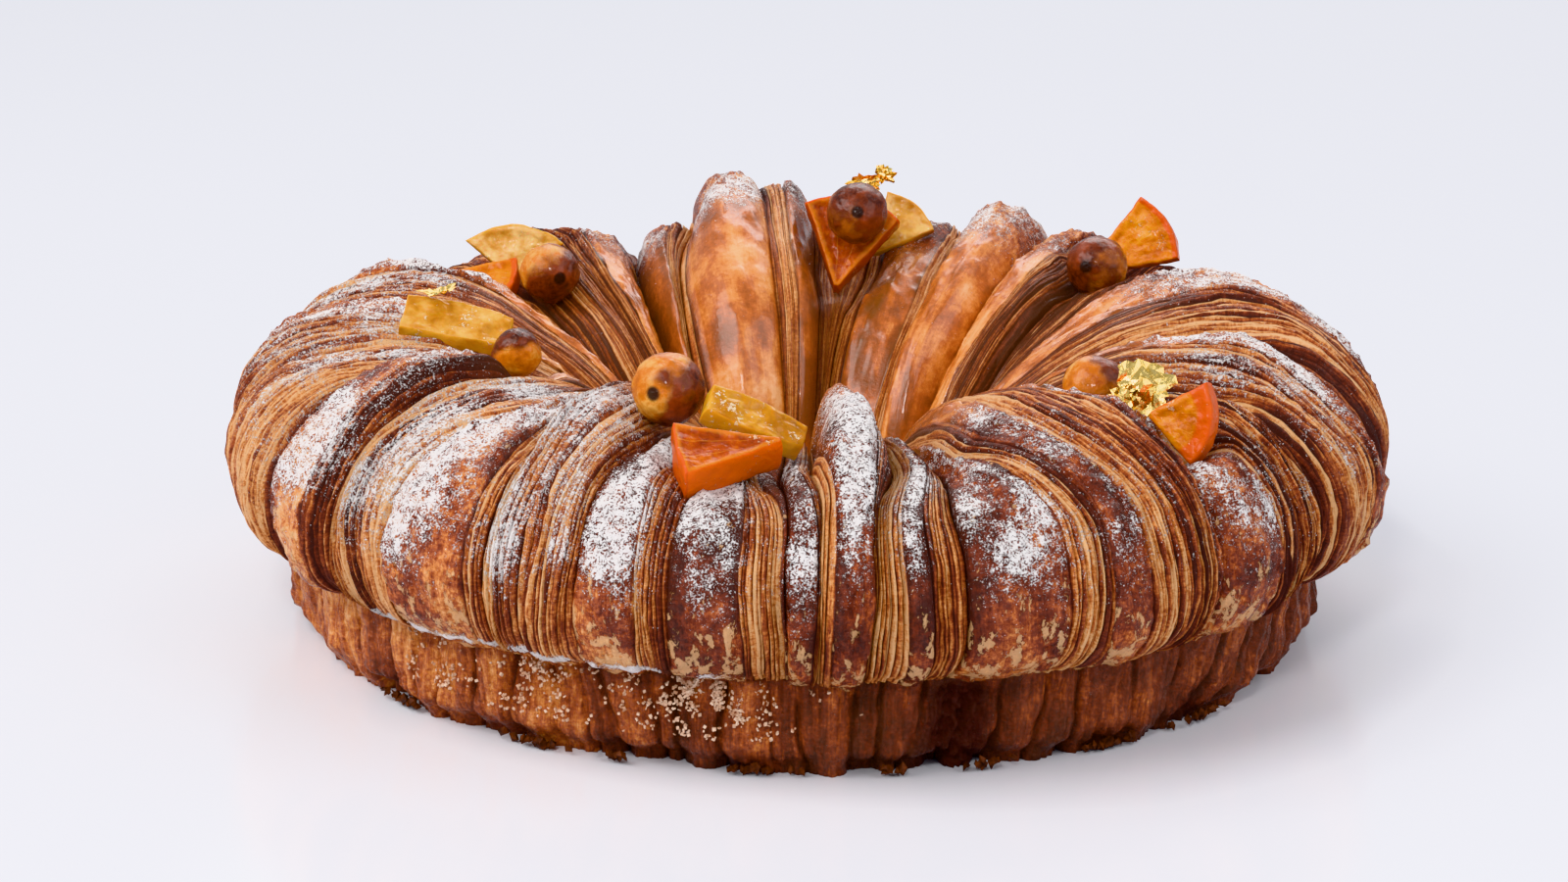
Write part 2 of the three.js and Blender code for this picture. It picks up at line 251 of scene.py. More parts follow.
FOLDS = [
    laid((-14, -4, -13), 4, 2, 8, 0.75,
        (0.3, "coarse", 0.76, 0.0, 0.1), (0.5, "fine", 0.4, 0.05, 0.45),
        (0.62, "coarse", 0.62, 0.05, 0.62), (1.0, "skin", 0.52, 0.6), lean=-1.5),
    laid((4, 23, 15), 0.5, 0.5, 5, 0.3,
        (0.36, "skin", 0.55, 0.65), (1.0, "fine", 0.62, 0.2)),
    laid((24, 43, 42), 3.5, 0, 3, 0.3,
        (0.08, "coarse", 0.7, 0.0), (0.5, "fine", 0.5, 0.2, 0.46), (1.0, "skin", 0.36, 0.3)),
    laid((43, 54.3, 59.5), 6.2, 1, 5, 0.56,
        (0.9, "skin", 0.5, 0.8), (1.0, "skin", 0.42, 0.3)),
    laid((60.5, 66.5, 71), -0.7, 0, 1.5, 0.4,
        (0.18, "fine", 0.18, 0.1), (0.84, "skin", 0.64, 0.4), (0.92, "fine", 0.75, 0.1),
        (1.0, "fine", 0.28, 0.1)),
    laid((84, 79.5, 81.5), -2, -1, 3, 0.5,
        (0.3, "fine", 0.6, 0.0), (0.55, "fine", 0.3, 0.0), (1.0, "coarse", 0.72, 0.0)),
    laid((86.5, 89.8, 89), 9, 0.5, 1, 0.66,
        (0.56, "skin", 0.64, 0.4), (0.86, "fine", 0.24, 0.1), (1.0, "coarse", 0.72, 0.2)),
    laid((100, 97.8, 96), 10, 2, 1.2, 0.4,
        (0.94, "skin", 0.44, 0.85), (1.0, "coarse", 0.6, 0.1)),
    laid((130, 107.8, 103.5), -0.5, -3, 1.2, 0.25,
        (0.4, "fine", 0.3, 0.1), (1.0, "skin", 0.6, 0.65)),
    laid((132, 116.8, 110.5), 1, 0, 10.5, 0.65,
        (0.4, "skin", 0.45, 0.4), (1.0, "fine", 0.58, 0.15)),
    laid((156, 140, 136), -6.5, -1, 2, 0.5,
        (1.0, "coarse", 0.6, 0.1)),
    laid((165, 151, 154), 1, 1, 3, 0.3,
        (0.42, "skin", 0.45, 0.8), (1.0, "fine", 0.4, 0.5)),
    laid((176, 170, 168), -1, 0, 3.5, 0.5,
        (0.5, "skin", 0.36, 0.6), (1.0, "fine", 0.38, 0.4)),
    laid((189, 189, 184), 0, 0.5, 3.5, 0.4,
        (0.3, "fine", 0.3, 0.3, 0.2), (0.55, "coarse", 0.5, 0.25, 0.55),
        (1.0, "fine", 0.26, 0.35)),
    laid((207, 207, 203), 2.5, 0, 3, 0.6,
        (0.36, "fine", 0.26, 0.25, 0.1), (0.46, "coarse", 0.6, 0.1, 0.15),
        (0.78, "skin", 0.44, 0.6, 0.6), (1.0, "fine", 0.7, 0.1), lean=1.2, sugar=0.15),
    laid((216.5, 216.5, 219), 1, 1, 8, 0.3,
        (0.07, "coarse", 0.8, 0.0, 0.16), (0.12, "fine", 0.24, 0.1, 0.3),
        (0.24, "fine", 0.2, 0.5, 0.42), (0.36, "fine", 0.62, 0.45, 0.6),
        (0.5, "coarse", 0.2, 0.15, 0.74), (0.91, "skin", 0.46, 0.6, 0.92),
        (1.0, "fine", 0.22, 0.4), sugar=0.15),
    laid((239.5, 239.5, 240), 4, 0.5, 4, 0.2,
        (0.26, "fine", 0.24, 1.2, 0.3), (0.52, "coarse", 0.58, 0.35, 0.6),
        (0.62, "coarse", 0.42, 0.3, 0.72), (0.92, "fine", 0.24, 0.35, 0.92),
        (1.0, "coarse", 0.66, 0.0), sugar=0.15),
    laid((250, 250, 249.5), -3, 0.5, 2.5, 0.45,
        (0.6, "skin", 0.5, 0.8), (1.0, "fine", 0.64, 0.25), sugar=0.15),
    laid((258, 258, 258), -4, 0, 3.5, 0.4,
        (0.62, "skin", 0.66, 0.7, 0.52), (0.97, "fine", 0.22, 0.15, 0.74), (1.0, "skin", 0.6, 0.5),
        sugar=0.15),
    laid((267, 267, 268.5), -4, 0.5, 2.5, 0.5,
        (0.88, "skin", 0.58, 0.55, 0.35), (1.0, "fine", 0.2, 0.15), sugar=0.15),
    laid((270.5, 270.5, 271.3), 6, 1, 3, 0.5,
        (0.28, "fine", 0.22, 0.0, 0.03), (0.88, "skin", 0.54, 1.0, 0.8),
        (1.0, "fine", 0.62, 0.05)),
    laid((280, 280, 276.4), -4, 0, 3, 0.5,
        (0.34, "fine", 0.24, 0.15, 0.25), (0.64, "skin", 0.68, 0.7, 0.62),
        (0.7, "coarse", 0.78, 0.0, 0.68), (1.0, "fine", 0.34, 0.35)),
    laid((286, 286, 284.5), 4, 1, 4, 0.85,
        (0.33, "skin", 0.6, 0.85, 0.06), (0.45, "fine", 0.42, 0.25, 0.14),
        (0.5, "coarse", 0.72, 0.1, 0.2), (0.66, "skin", 0.62, 0.6, 0.36),
        (0.8, "fine", 0.22, 0.1, 0.58), (0.95, "fine", 0.44, 0.1, 0.84), (1.0, "skin", 0.5, 0.8),
        lean=1.0, sugar=0.15),
    laid((311, 311, 311), -1, 0.5, 6, 0.35,
        (0.4, "skin", 0.56, 0.6, 0.2), (0.62, "coarse", 0.56, 0.25, 0.45),
        (0.84, "fine", 0.36, 0.45, 0.9), (1.0, "fine", 0.58, 0.05), lean=0.6, sugar=0.15),
    laid((336, 336, 330), 2, 0.5, 8, 0.55,
        (0.2, "fine", 0.44, 0.1, 0.1), (0.55, "fine", 0.42, 0.5, 0.45), (0.8, "skin", 0.48, 0.9),
        (1.0, "coarse", 0.62, 0.1)),
]
SHOULDER = 3.2
print("folds:", len(FOLDS), " strips:", sum(len(f["strips"]) for f in FOLDS))

# %% [markdown]
# ## The loaf's section
#
# Cut the ring anywhere and the section is the same mean form: up the wall of the
# hole, over the crest, out to the bulge and in again under it to the tin's rim.
# Three quarter ellipses draw it. It is sampled by its own length, finely where
# the crust is in full view and more coarsely down in the hole.

# %% Sample the mean section
def quarter(centre, reach, start, end, count=160):
    angle = np.radians(np.linspace(start, end, count))
    r = centre[0] + reach[0] * np.cos(angle)
    z = centre[1] + reach[1] * np.sin(angle)
    out = np.stack([np.cos(angle) / reach[0], np.sin(angle) / reach[1]], axis=1)
    return np.column_stack([r, z, out / np.linalg.norm(out, axis=1)[:, None]])


def mean_section():
    """Columns r, z, outward r, outward z and rise, from the foot of the hole to the rim."""
    crest, bulge = (CREST_RADIUS, BULGE_HEIGHT), (TIN_RADIUS, BULGE_HEIGHT)
    to_crest = CREST_RADIUS - HOLE_RADIUS, CREST_HEIGHT - THROAT_HEIGHT
    to_bulge = BULGE_RADIUS - CREST_RADIUS, CREST_HEIGHT - BULGE_HEIGHT
    to_tin = BULGE_RADIUS - TIN_RADIUS, BULGE_HEIGHT - BAND_HEIGHT - 0.5
    inner = quarter((CREST_RADIUS, THROAT_HEIGHT), to_crest, 180, 90)
    outer = quarter(crest, to_bulge, 90, 0)[1:]
    under = quarter(bulge, to_tin, 0, -82)[1:]
    foot = np.array([[HOLE_RADIUS + 0.9, 0.8, -1, 0], [HOLE_RADIUS + 0.4, 3.0, -1, 0]])
    tuck = np.array([[TIN_RADIUS, BAND_HEIGHT - 0.6, 0.1, -1], [TIN_RADIUS - 2.5, 20.0, 0, -1]])
    rise_inner = np.interp(np.linspace(0, 6, len(inner)), range(7), [0, 0.5, 0.8, 1, 1, 1, 1])
    rise_under = np.interp(np.linspace(0, 1, len(under)), [0, 0.45, 1], [1, 0.75, 0.4])
    rise = np.concatenate([[0, 0], rise_inner, np.ones(len(outer)), rise_under, [0.35, 0.3]])
    return np.column_stack([np.vstack([foot, inner, outer, under, tuck]), rise])


SECTION = mean_section()
SECTION_STEPS = np.hypot(*np.diff(SECTION[:, :2], axis=0).T)
SECTION_LENGTH = np.concatenate([[0], np.cumsum(SECTION_STEPS)])
IN_THE_HOLE = 48  # the length of the section that is down in the hole


def section_at(along):
    """The mean section at these lengths from the foot of the hole."""
    return np.column_stack([np.interp(along, SECTION_LENGTH, column) for column in SECTION.T])


def row_places():
    fine, coarse = ((1.0, 2.0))
    places, here, end = [], 0.0, SECTION_LENGTH[-1]
    while here < end - fine * 0.6:
        places.append(here)
        here += coarse if here < IN_THE_HOLE else fine
    return np.array(places + [end])


ALONG = row_places()
ROWS = section_at(ALONG)
print("section rows:", len(ROWS), " length:", round(SECTION_LENGTH[-1], 1), "mm")

# %% [markdown]
# ## The form of a fold
#
# Across its width a fold rises from one valley to its ridge and falls to the
# next. Both valleys are shared with the neighbours, so their heights come from
# the lower of the two. The toppings are heavy and were pressed in, so the crust
# is sunk a little under each of them. Their table says how each one is made, its
# size, its place in millimetres, how deep it sinks and how it is turned.

# %% Height and azimuth of a fold
TOPPINGS = {
    "orange_front": ("wedge", (19.6, 13.8, 0.5, 7.5), (-14.4, -97), 3, (28, 4, 192)),
    "citron_front": ("strip", (20, 6.6, 1.6, 5), (-10, -82.5), 3.2, (34, 22, -8)),
    "hazelnut_front": ("nut", (14,), (-26.6, -75.5), 0, (95, 10, 20)),
    "citron_left": ("strip", (22.5, 9.5, 1.2, 4.2), (-72.4, -15.6), 1.5, (32, 6, -5)),
    "hazelnut_left": ("nut", (10,), (-58.6, -35), 5, (40, 0, 60)),
    "orange_back_left": ("wedge", (16, 14, 1.5, 4.5), (-73, 43), 4.4, (28, -6, -8)),
    "citron_back_left": ("wedge", (8, 22, 4, 4), (-66, 53.2), 1.7, (70, 4, 90)),
    "hazelnut_back_left": ("nut", (13,), (-57, 38.6), 0, (70, 20, 0)),
    "orange_back": ("wedge", (18.5, 22, 3.6, 6), (8, 67), 3.8, (58, 0, 79)),
    "citron_back": ("wedge", (13.2, 14.4, 2, 3.6), (19.3, 79), 0.5, (60, 0, 50)),
    "hazelnut_back": ("nut", (13.6,), (10.4, 60.8), 1, (100, 0, 10)),
    "orange_back_right": ("wedge", (20, 16.5, 2.4, 5.5), (70.8, 57), 8.4, (70, -12, 30)),
    "hazelnut_back_right": ("nut", (13.4,), (63.5, 45), 2, (80, 30, 0)),
    "orange_right": ("wedge", (10, 16.5, 3, 5), (72.2, -71), 8.5, (72, -25, -10)),
    "hazelnut_right": ("nut", (12.4,), (56.2, -51.5), 4.5, (20, 60, 0)),
}
NEST_MARGIN = 2.5


def stand(fold, to_rim):
    return lerp(fold["lift"], fold["rim"], to_rim)


def valley_height(index, to_rim):
    """Shallow valleys close up towards the rim, and deep ones stay open."""
    before, fold = FOLDS[index - 1], FOLDS[index % len(FOLDS)]
    open_share = lerp(0.22, 0.55, smoothstep(fold["valley"], 3.5, 7))
    depth = fold["valley"] * lerp(1.0, open_share, to_rim)
    return np.minimum(stand(before, to_rim), stand(fold, to_rim)) - depth


def fold_height(index, share, to_rim):
    """How far the crust stands over the mean form, and its share of the fold's height."""
    fold = FOLDS[index]
    ridge = fold["ridge"]
    left = share < ridge
    away = np.where(left, (ridge - share) / ridge, (share - ridge) / (1 - ridge))
    away = np.clip(np.abs(away), 0, 1)
    following = (index + 1) % len(FOLDS)
    floor = np.where(left, valley_height(index, to_rim), valley_height(following, to_rim))
    crown = 1 - away**SHOULDER
    return floor + (stand(fold, to_rim) - floor) * crown, crown


def fold_azimuth(index, share, to_hole, to_rim):
    """The azimuth at a share of the width. Folds twist on their way from the hole to the rim."""
    def line(fold):
        return lerp(lerp(fold["crest"], fold["hole"], to_hole), fold["seam"], to_rim)

    turn = 360 if index == len(FOLDS) - 1 else 0
    start, end = line(FOLDS[index]), line(FOLDS[(index + 1) % len(FOLDS)]) + turn
    return np.radians(start + (end - start) * share)


def pressed_in(x, y):
    depth = np.zeros(np.shape(x))
    for _, size, place, sink, _ in TOPPINGS.values():
        apart = np.hypot(x - place[0], y - place[1])
        depth = np.maximum(depth, sink * bell(apart, 0, size[0] / 2 + NEST_MARGIN, 4))
    return depth


# %% [markdown]
# ## Layers as grid lines
#
# A flake of dough is a millimetre wide and a hundred long. A mesh of even
# squares fine enough to show it would be huge, so the grid itself follows the
# flakes: each layer gets four lines of its own, one down in the groove beside it
# and three across its top, and the lines wander together. That draws a crisp
# groove with very few faces.

# %% Lay out the grid lines across one fold
PITCH = {"fine": 0.80, "coarse": 1.20}
SKIN_STEP = 0.6


LAYER_LINES = ((0.0, 1.0), (0.2, 0.0), (0.5, 0.0), (0.82, 0.0))
Line = namedtuple("Line", "at_rim at_crest tone skin groove layer inside wide")


def skin_lines(start, end, tone, layer, strip):
    """Even lines over a strip of skin, with a shallow groove where it starts."""
    count = max(4, round(strip / (SKIN_STEP * COARSER)))
    for step in range(count):
        across = step / count
        groove = 0.5 if step == 0 else 0.0
        yield Line(*(start + (end - start) * across), tone, 1.0, groove, layer, across - 0.5, strip)


def layer_lines(start, end, tone, layer, pitch, count, rng):
    """Four lines for each layer. Layers differ in width and in tone."""
    widths = rng.uniform(0.5, 1.6, count)
    cuts = np.concatenate([[0], np.cumsum(widths)]) / widths.sum()
    for number, (a, b) in enumerate(zip(cuts[:-1], cuts[1:])):
        shade = tone + rng.normal(0, 0.10 + 0.22 * tone)
        for across, groove in LAYER_LINES:
            place = start + (end - start) * (a + (b - a) * across)
            yield Line(*place, shade, 0.0, groove, layer + number, across - 0.5, pitch)


def fold_lines(index, rng):
    """The lines across a fold, and its width in millimetres."""
    rim_wide, crest_wide = (
        WIDTH_RADIUS * (fold_azimuth(index, 1.0, 0, t) - fold_azimuth(index, 0.0, 0, t))
        for t in (1, 0))
    lines, start, layer = [], np.zeros(2), index * 200
    for end_at_rim, kind, tone, _, *end_at_crest in FOLDS[index]["strips"]:
        end = np.array([end_at_rim, end_at_crest[0] if end_at_crest else end_at_rim])
        strip = float(max((end - start) * (rim_wide, crest_wide * 0.8)))
        if kind == "skin":
            lines += skin_lines(start, end, tone, layer, strip)
            layer += 1
        else:
            pitch = PITCH[kind] * COARSER
            count = max(1, round(strip / pitch))
            lines += layer_lines(start, end, tone, layer, pitch, count, rng)
            layer += count
        start = end
    lines.append(lines[-1]._replace(at_rim=1.0, at_crest=1.0, groove=1.0, inside=0.5))
    return np.array(lines), max(rim_wide, crest_wide)


# %% [markdown]
# ## One fold as a closed piece
#
# Each fold is a piece of its own, as it was in the baker's hands. Its top is the
# grid of lines along the section. Two side walls go down inside the loaf, and a
# floor and two end caps close it. Skin gets a soft swell and small blisters;
# layers get steps, because each one ends a little lower than the one above it.

# %% The grid over one fold
def fold_grid(index):
    """What every field over a fold is worked out from, as lines by rows."""
    lines, width = fold_lines(index, np.random.default_rng(900 + index))
    g = SimpleNamespace(**{key: column[:, None] for key, column in zip(Line._fields, lines.T)})
    g.r, g.z, g.out_r, g.out_z, g.rise = (column[None, :] for column in ROWS.T)
    g.index, g.width, g.along, g.flat = index, width, ALONG[None, :], 1 - g.skin
    g.fold, g.following = FOLDS[index], FOLDS[(index + 1) % len(FOLDS)]
    g.to_rim = np.maximum.accumulate(smoothstep(g.r, CREST_RADIUS, BULGE_RADIUS - 4), axis=1)
    g.to_hole = np.clip((CREST_RADIUS - g.r) / (CREST_RADIUS - HOLE_RADIUS), 0, 1)
    g.share = lerp(g.at_crest, g.at_rim, g.to_rim)
    g.across = g.at_rim * width + index * 40
    g.edge_depth = np.where(g.share < 0.5, g.fold["valley"], g.following["valley"])
    g.uneven = noise(11, g.layer * 3.7, g.along / 17 + g.layer)
    g.bundle = noise(18, g.layer / 2.7 + index * 9, g.along / 32)
    g.split = smoothstep(noise(19, g.layer * 2.3, g.along / 26), 0.05, 0.6) * g.groove
    g.facing = np.sign(g.share - g.fold["ridge"])
    return g


# %% Relief over one fold
def layer_relief(g):
    """Each layer ends a little lower or higher than the next, and its top tilts."""
    crinkle = noise(12, g.layer * 9.1, g.along / 2.4)
    uneven = (0.32 + 0.28 * g.wide) * g.uneven
    step = g.flat * (uneven + 0.75 * g.bundle + 0.26 * crinkle - 0.25)
    tilt = -g.flat * (0.25 + 0.25 * g.wide) * g.inside * g.facing
    return step + tilt


def groove_depth(g):
    """The grooves between layers, and the splits where layers have come apart."""
    between_layers = 0.62 + 0.35 * noise(13, g.layer * 5.3, g.along / 9)
    return g.groove * np.where(g.skin > 0.5, 0.5, between_layers) + 0.85 * g.split * g.flat


def skin_bumps(g):
    """The wrinkles and blisters of the skin, and a little unevenness on the layers."""
    wrinkle = rough(14, 3, g.across / 2.6, g.along / 6)
    blister = np.maximum(rough(15, 2, g.across / 2.0, g.along / 2.4), 0.0)
    on_layers = 0.10 * g.flat * rough(16, 2, g.across / 2, g.along / 3)
    return g.skin * (0.46 * wrinkle + 0.85 * blister) + on_layers


def fold_lumps(g):
    """The broad lumps of the dough, and the cleft along both sides of the fold."""
    from_edge = np.minimum(g.share, 1 - g.share) * g.width
    cleft = (0.12 + 0.085 * g.edge_depth) * bell(from_edge, 0, 1.0) * lerp(1.0, 0.55, g.to_rim)
    return 0.9 * rough(17, 2, g.across / 15 + 90, g.along / 22) - cleft * smoothstep(g.r, 50, 90)


def fold_relief(g):
    swell = g.skin * np.minimum(0.05 * g.wide, 0.7) * (1 - np.abs(2 * g.inside) ** 2.5)
    near = lerp(0.35, 1.0, smoothstep(g.r, 36, 92))
    return (layer_relief(g) - groove_depth(g) + swell + skin_bumps(g)) * near + fold_lumps(g)


def wander(g):
    """How far the lines stray sideways. The edge lines are shared with the neighbours."""
    start, end = (noise(21, number % len(FOLDS), g.along / 15) for number in (g.index, g.index + 1))
    inner = 1.5 * noise(22, g.across / 9, g.along / 26)
    inner = inner + 0.5 * noise(24, g.across / 3, g.along / 13)
    inner = inner + 0.16 * noise(23, g.across / 1.4, g.along / 3.6)
    inside = np.sqrt(np.clip(4 * g.share * (1 - g.share), 0, 1))
    return 0.8 * lerp(start, end, g.share) + inner * inside


def fold_points(g):
    """The crust's points in millimetres. Their angle and their height on the fold are kept."""
    # a layer keeps most of the height of its own middle, which makes a step
    stepped = g.share - g.inside * np.gradient(g.share, axis=0) * 2.4
    middle = np.where(g.skin > 0.5, g.share, stepped)
    height, g.crown = fold_height(g.index, np.clip(middle, 0, 1), g.to_rim)
    lean = g.fold["lean"] * g.crown * g.rise
    g.angle = fold_azimuth(g.index, g.share, g.to_hole, g.to_rim)
    g.angle = g.angle + (wander(g) + lean) / WANDER_RADIUS
    g.degrees = np.degrees(g.angle) % 360
    sunk = pressed_in(g.r * np.cos(g.angle), g.r * np.sin(g.angle))
    relief = fold_relief(g) * smoothstep(g.along, 2, 30)
    lift = (height + relief - sunk) * g.rise + relief * (1 - g.rise) * 0.4
    return round_axis(g.r + g.out_r * lift, g.angle, g.z + g.out_z * lift)


# %% Tone and sugar over one fold
def layer_tone(g):
    """Tone line by line: painted shade in the grooves and the splits, and painted light at one raised edge
    of each layer with painted shade at the other.
    """
    slow = noise(33, g.across / 5, g.along / 24)
    # painted light at one edge of each layer and painted shade at the other, as if lit from one side
    painted_edge_light_and_shade = g.flat * (0.34 * g.inside * g.facing - 0.06) * (1 - g.groove)
    varied = g.flat * (0.15 * g.uneven + 0.13 * g.bundle + 0.16 * slow)
    # painted shade: the grooves and the splits between layers are darkened
    tone = g.tone + varied + (0.28 + 0.42 * g.tone) * g.groove + 0.25 * g.split + painted_edge_light_and_shade
    # the layers of the far wall are short and even, so their tones lie close together
    return lerp(tone, 0.34, 0.62 * g.flat * smoothstep(g.r, 90, 74) * bell(g.degrees, 88, 36, 4))


def baked_tone(g):
    """Tone by place: random browning, a paler hole and paler skin where it faces down; painted shade on the
    front skins and beside deep valleys, and painted light at the left.
    """
    tone = layer_tone(g) + (0.08 + 0.12 * g.skin) * rough(31, 3, g.across / 5, g.along / 16)
    tone = tone - 0.03 * g.calm * g.skin
    tone = tone + 0.17 * g.calm * g.skin * rough(34, 3, g.across / 3.0, g.along / 5)
    low = smoothstep(g.out_z, 0.1, -0.7) * g.skin
    front = bell(g.degrees, 268, 32) * g.skin * smoothstep(g.r, 84, 96)
    # painted shade on the outer front skins, which face away from the key lamp, and painted light at the
    # left, where it falls
    tone = tone + 0.28 * front * (1 - 0.55 * low) - 0.05 * bell(g.degrees, 215, 22)
    # painted shade along a fold's sides beside a deep valley
    deep = lerp(0.0, 0.15, smoothstep(g.edge_depth, 5, 8))
    inner = smoothstep(g.r, 86, 56) * (0.3 + 0.7 * g.skin)
    return tone - 0.10 * low + deep * (1 - g.crown) ** 2 - 0.05 * inner


def flour_line(g):
    """Flour from the tin's edge, caught on the lowest lip of the folds at the front left."""
    there = smoothstep(g.degrees, 222, 226) * smoothstep(g.degrees, 266, 257)
    lip = bell(g.z, 23.2, 1.1) * (g.along > SECTION_LENGTH[-1] * 0.8)
    ragged = 0.9 * noise(71, g.degrees / 0.9, g.z / 3) + 0.7 * noise(74, g.degrees / 3.5, g.z / 9)
    return np.clip(1.8 * there * lip * (0.9 + ragged), 0, 1.6)


def softened_sugar(g, soft=2.2):
    """The strips' sugar, blurred across the fold, since it falls without regard to strips."""
    dense = np.linspace(-0.3, 1.3, 640)
    ends, _, _, amounts = zip(*(strip[:4] for strip in g.fold["strips"]))
    values = np.array(amounts)[np.clip(np.searchsorted(ends, dense), 0, len(ends) - 1)]
    kernel = bell(np.arange(-200, 201) * (dense[1] - dense[0]) * g.width, 0, soft)
    padded = np.pad(values, 200, mode="edge")
    return np.interp(g.at_rim, dense, np.convolve(padded, kernel / kernel.sum(), mode="valid"))


def sugar_cover(g):
    """How thickly icing sugar lies: in patches on what faces up, and thinly in the grooves."""
    lowest = g.fold["sugar"]
    exposed = smoothstep(g.out_z, lowest - 0.60, lowest + 0.5) * smoothstep(g.r, 62, 84)
    patch = 0.92 + 0.50 * rough(32, 3, g.across / 7, g.along / 11)
    left_front = 0.28 * smoothstep(-np.cos(g.angle - math.radians(45)), 0.3, 0.9)
    sugar = 0.95 * softened_sugar(g) + 0.22 + left_front
    sugar = sugar * exposed * patch * (1 - 0.6 * g.groove) * (0.50 + 0.50 * g.crown)
    return np.maximum(np.clip(sugar, 0, 1), flour_line(g) * (1 - 0.5 * g.groove))


def fold_surface(index):
    """Points of a fold's top, in millimetres, with its attributes, as lines by rows."""
    g = fold_grid(index)
    points = fold_points(g)
    g.calm = smoothstep(g.r, 86, 68) * (0.4 + 0.6 * g.skin)
    tone = baked_tone(g)
    whole = tone.shape
    flow = np.stack(np.broadcast_arrays(g.across, g.along, g.skin), axis=-1)
    return points, {"tone": tone, "dust": sugar_cover(g), "skin": np.broadcast_to(g.skin, whole),
                    "flow": flow, "calm": np.broadcast_to(g.calm, whole)}


# %% Close the fold and make the piece
# painted shade: the hidden sides and floors inside the loaf get a nearly black tone, so that a glimpse down
# a groove reads as shade
SIDE_DEPTH, INSIDE_SHADE_TONE = 5.0, 0.8


def closed_strip(grid, floor_left, floor_right):
    """Points and faces of a closed solid under a grid of lines by rows."""
    lines, rows = grid.shape[:2]
    number = np.arange(lines * rows).reshape(lines, rows)
    left = lines * rows + np.arange(rows)
    right = left[-1] + 1 + np.arange(rows)
    start_middle, end_middle = right[-1] + 1, right[-1] + 2
    floor = np.stack([left[:-1], right[:-1], right[1:], left[1:]], -1)
    quads = [patch_faces(np.vstack([left, number, right])), floor]
    triangles = []
    for row, middle, flip in ((0, start_middle, False), (-1, end_middle, True)):
        loop = np.concatenate([number[:, row], [right[row], left[row], number[0, row]]])
        a, b = (loop[1:], loop[:-1]) if flip else (loop[:-1], loop[1:])
        triangles.append(np.stack([np.full(len(a), middle), a, b], -1))
    middles = [(floor_left[k] + floor_right[k] + 2 * grid[:, k].mean(axis=0)) / 4 for k in (0, -1)]
    points = np.vstack([grid.reshape(-1, 3), floor_left, floor_right, middles])
    return points, [np.vstack(quads), np.vstack(triangles)]


def lowered(points, depth):
    """Points moved in towards the inside of the loaf."""
    angle = np.arctan2(points[:, 1], points[:, 0])
    moved = points + round_axis(-depth * ROWS[:, 2], angle, -depth * ROWS[:, 3])
    moved[:, 2] = np.maximum(moved[:, 2], 0.5)
    return moved


def flattened(values):
    """A field over a grid as one number, or one vector, for each point."""
    return values.reshape(-1, *values.shape[2:])


def build_fold(index):
    grid, attributes = fold_surface(index)
    side = lowered(grid[0], SIDE_DEPTH), lowered(grid[-1], SIDE_DEPTH)
    points, faces = closed_strip(grid, *side)
    full = {}
    for key, values in attributes.items():
        flat, filler = flattened(values), INSIDE_SHADE_TONE if key == "tone" else 0.0
        inside = np.full((len(points) - len(flat), *flat.shape[1:]), filler)
        full[key] = np.concatenate([flat, inside])
    return make_object(f"fold_{index:02d}", to_metres(points), faces, full)


folds = [build_fold(index) for index in range(len(FOLDS))]
print("fold faces:", sum(len(piece.data.polygons) for piece in folds))
print("fold volumes in cm3:", [round(volume_cm3(piece)) for piece in folds])

# %% [markdown]
# ## The crumb inside
#
# Between two folds one can see down to the dough beneath them. A plain ring inside the loaf stands there,
# well below the crust, so that a deep groove ends in bread and not in air. It is coloured very dark brown,
# as painted shade at the bottom of the grooves.

# %% The inner ring
CRUMB_DEPTH = 11.5


def closed_ring(name, grid, attributes=None):
    """A closed ring from a grid whose rows run over the outside and back inside."""
    lines, rows = grid.shape[:2]
    number = np.arange(lines * rows).reshape(lines, rows)
    next_line, next_row = np.roll(number, -1, axis=0), np.roll(number, -1, axis=1)
    corner = np.roll(next_line, -1, axis=1)
    quads = np.stack([number, next_row, corner, next_line], -1).reshape(-1, 4)
    flat = {key: flattened(values) for key, values in (attributes or {}).items()}
    return make_object(name, to_metres(grid.reshape(-1, 3)), [quads], flat)


def ring_from_section(name, section, lines):
    angle = np.linspace(0, 2 * np.pi, lines, endpoint=False)[:, None]
    return closed_ring(name, round_axis(section[:, 0], angle, section[:, 1]))


inset = section_at(np.linspace(2, SECTION_LENGTH[-1], 34))
core_rows = inset[:, :2] - CRUMB_DEPTH * inset[:, 2:4]
core_rows[:, 1] = np.maximum(core_rows[:, 1], 3.0)
core_rows = core_rows[core_rows[:, 0] < 109]
core_rows = np.vstack([[[33.0, 0.3]], core_rows, [[98.0, 3.0], [96.0, 0.3]]])
core = ring_from_section("crumb_inside", core_rows, 180)
print("crumb inside:", round(volume_cm3(core)), "cm3")

# %% [markdown]
# ## The band pressed by the tin
#
# Below the folds the dough stood against the tin's straight wall. It is darker,
# flatter, and runs in upright creases under the gaps between folds. Its foot
# did not quite fill the corner of the tin, so the lower edge is scalloped.

# %% Build the band
ROUND_WALL = 2 * math.pi * WALL_RADIUS
INNER_WALL = ((92.0, 0.0), (88.0, 2.0), (90.0, 19.0), (99.0, 21.0))
WIDE_PLEATS, NARROW_PLEATS = 88, 420
BAND_LINES, BAND_ROWS = 2300, 34


def near_seam(angle):
    """1 at the creases below the gaps between folds, falling to 0 on both sides."""
    creases = [bell(degrees_from(np.degrees(angle), fold["seam"]), 0, 0.9) for fold in FOLDS]
    return np.max(creases, axis=0)


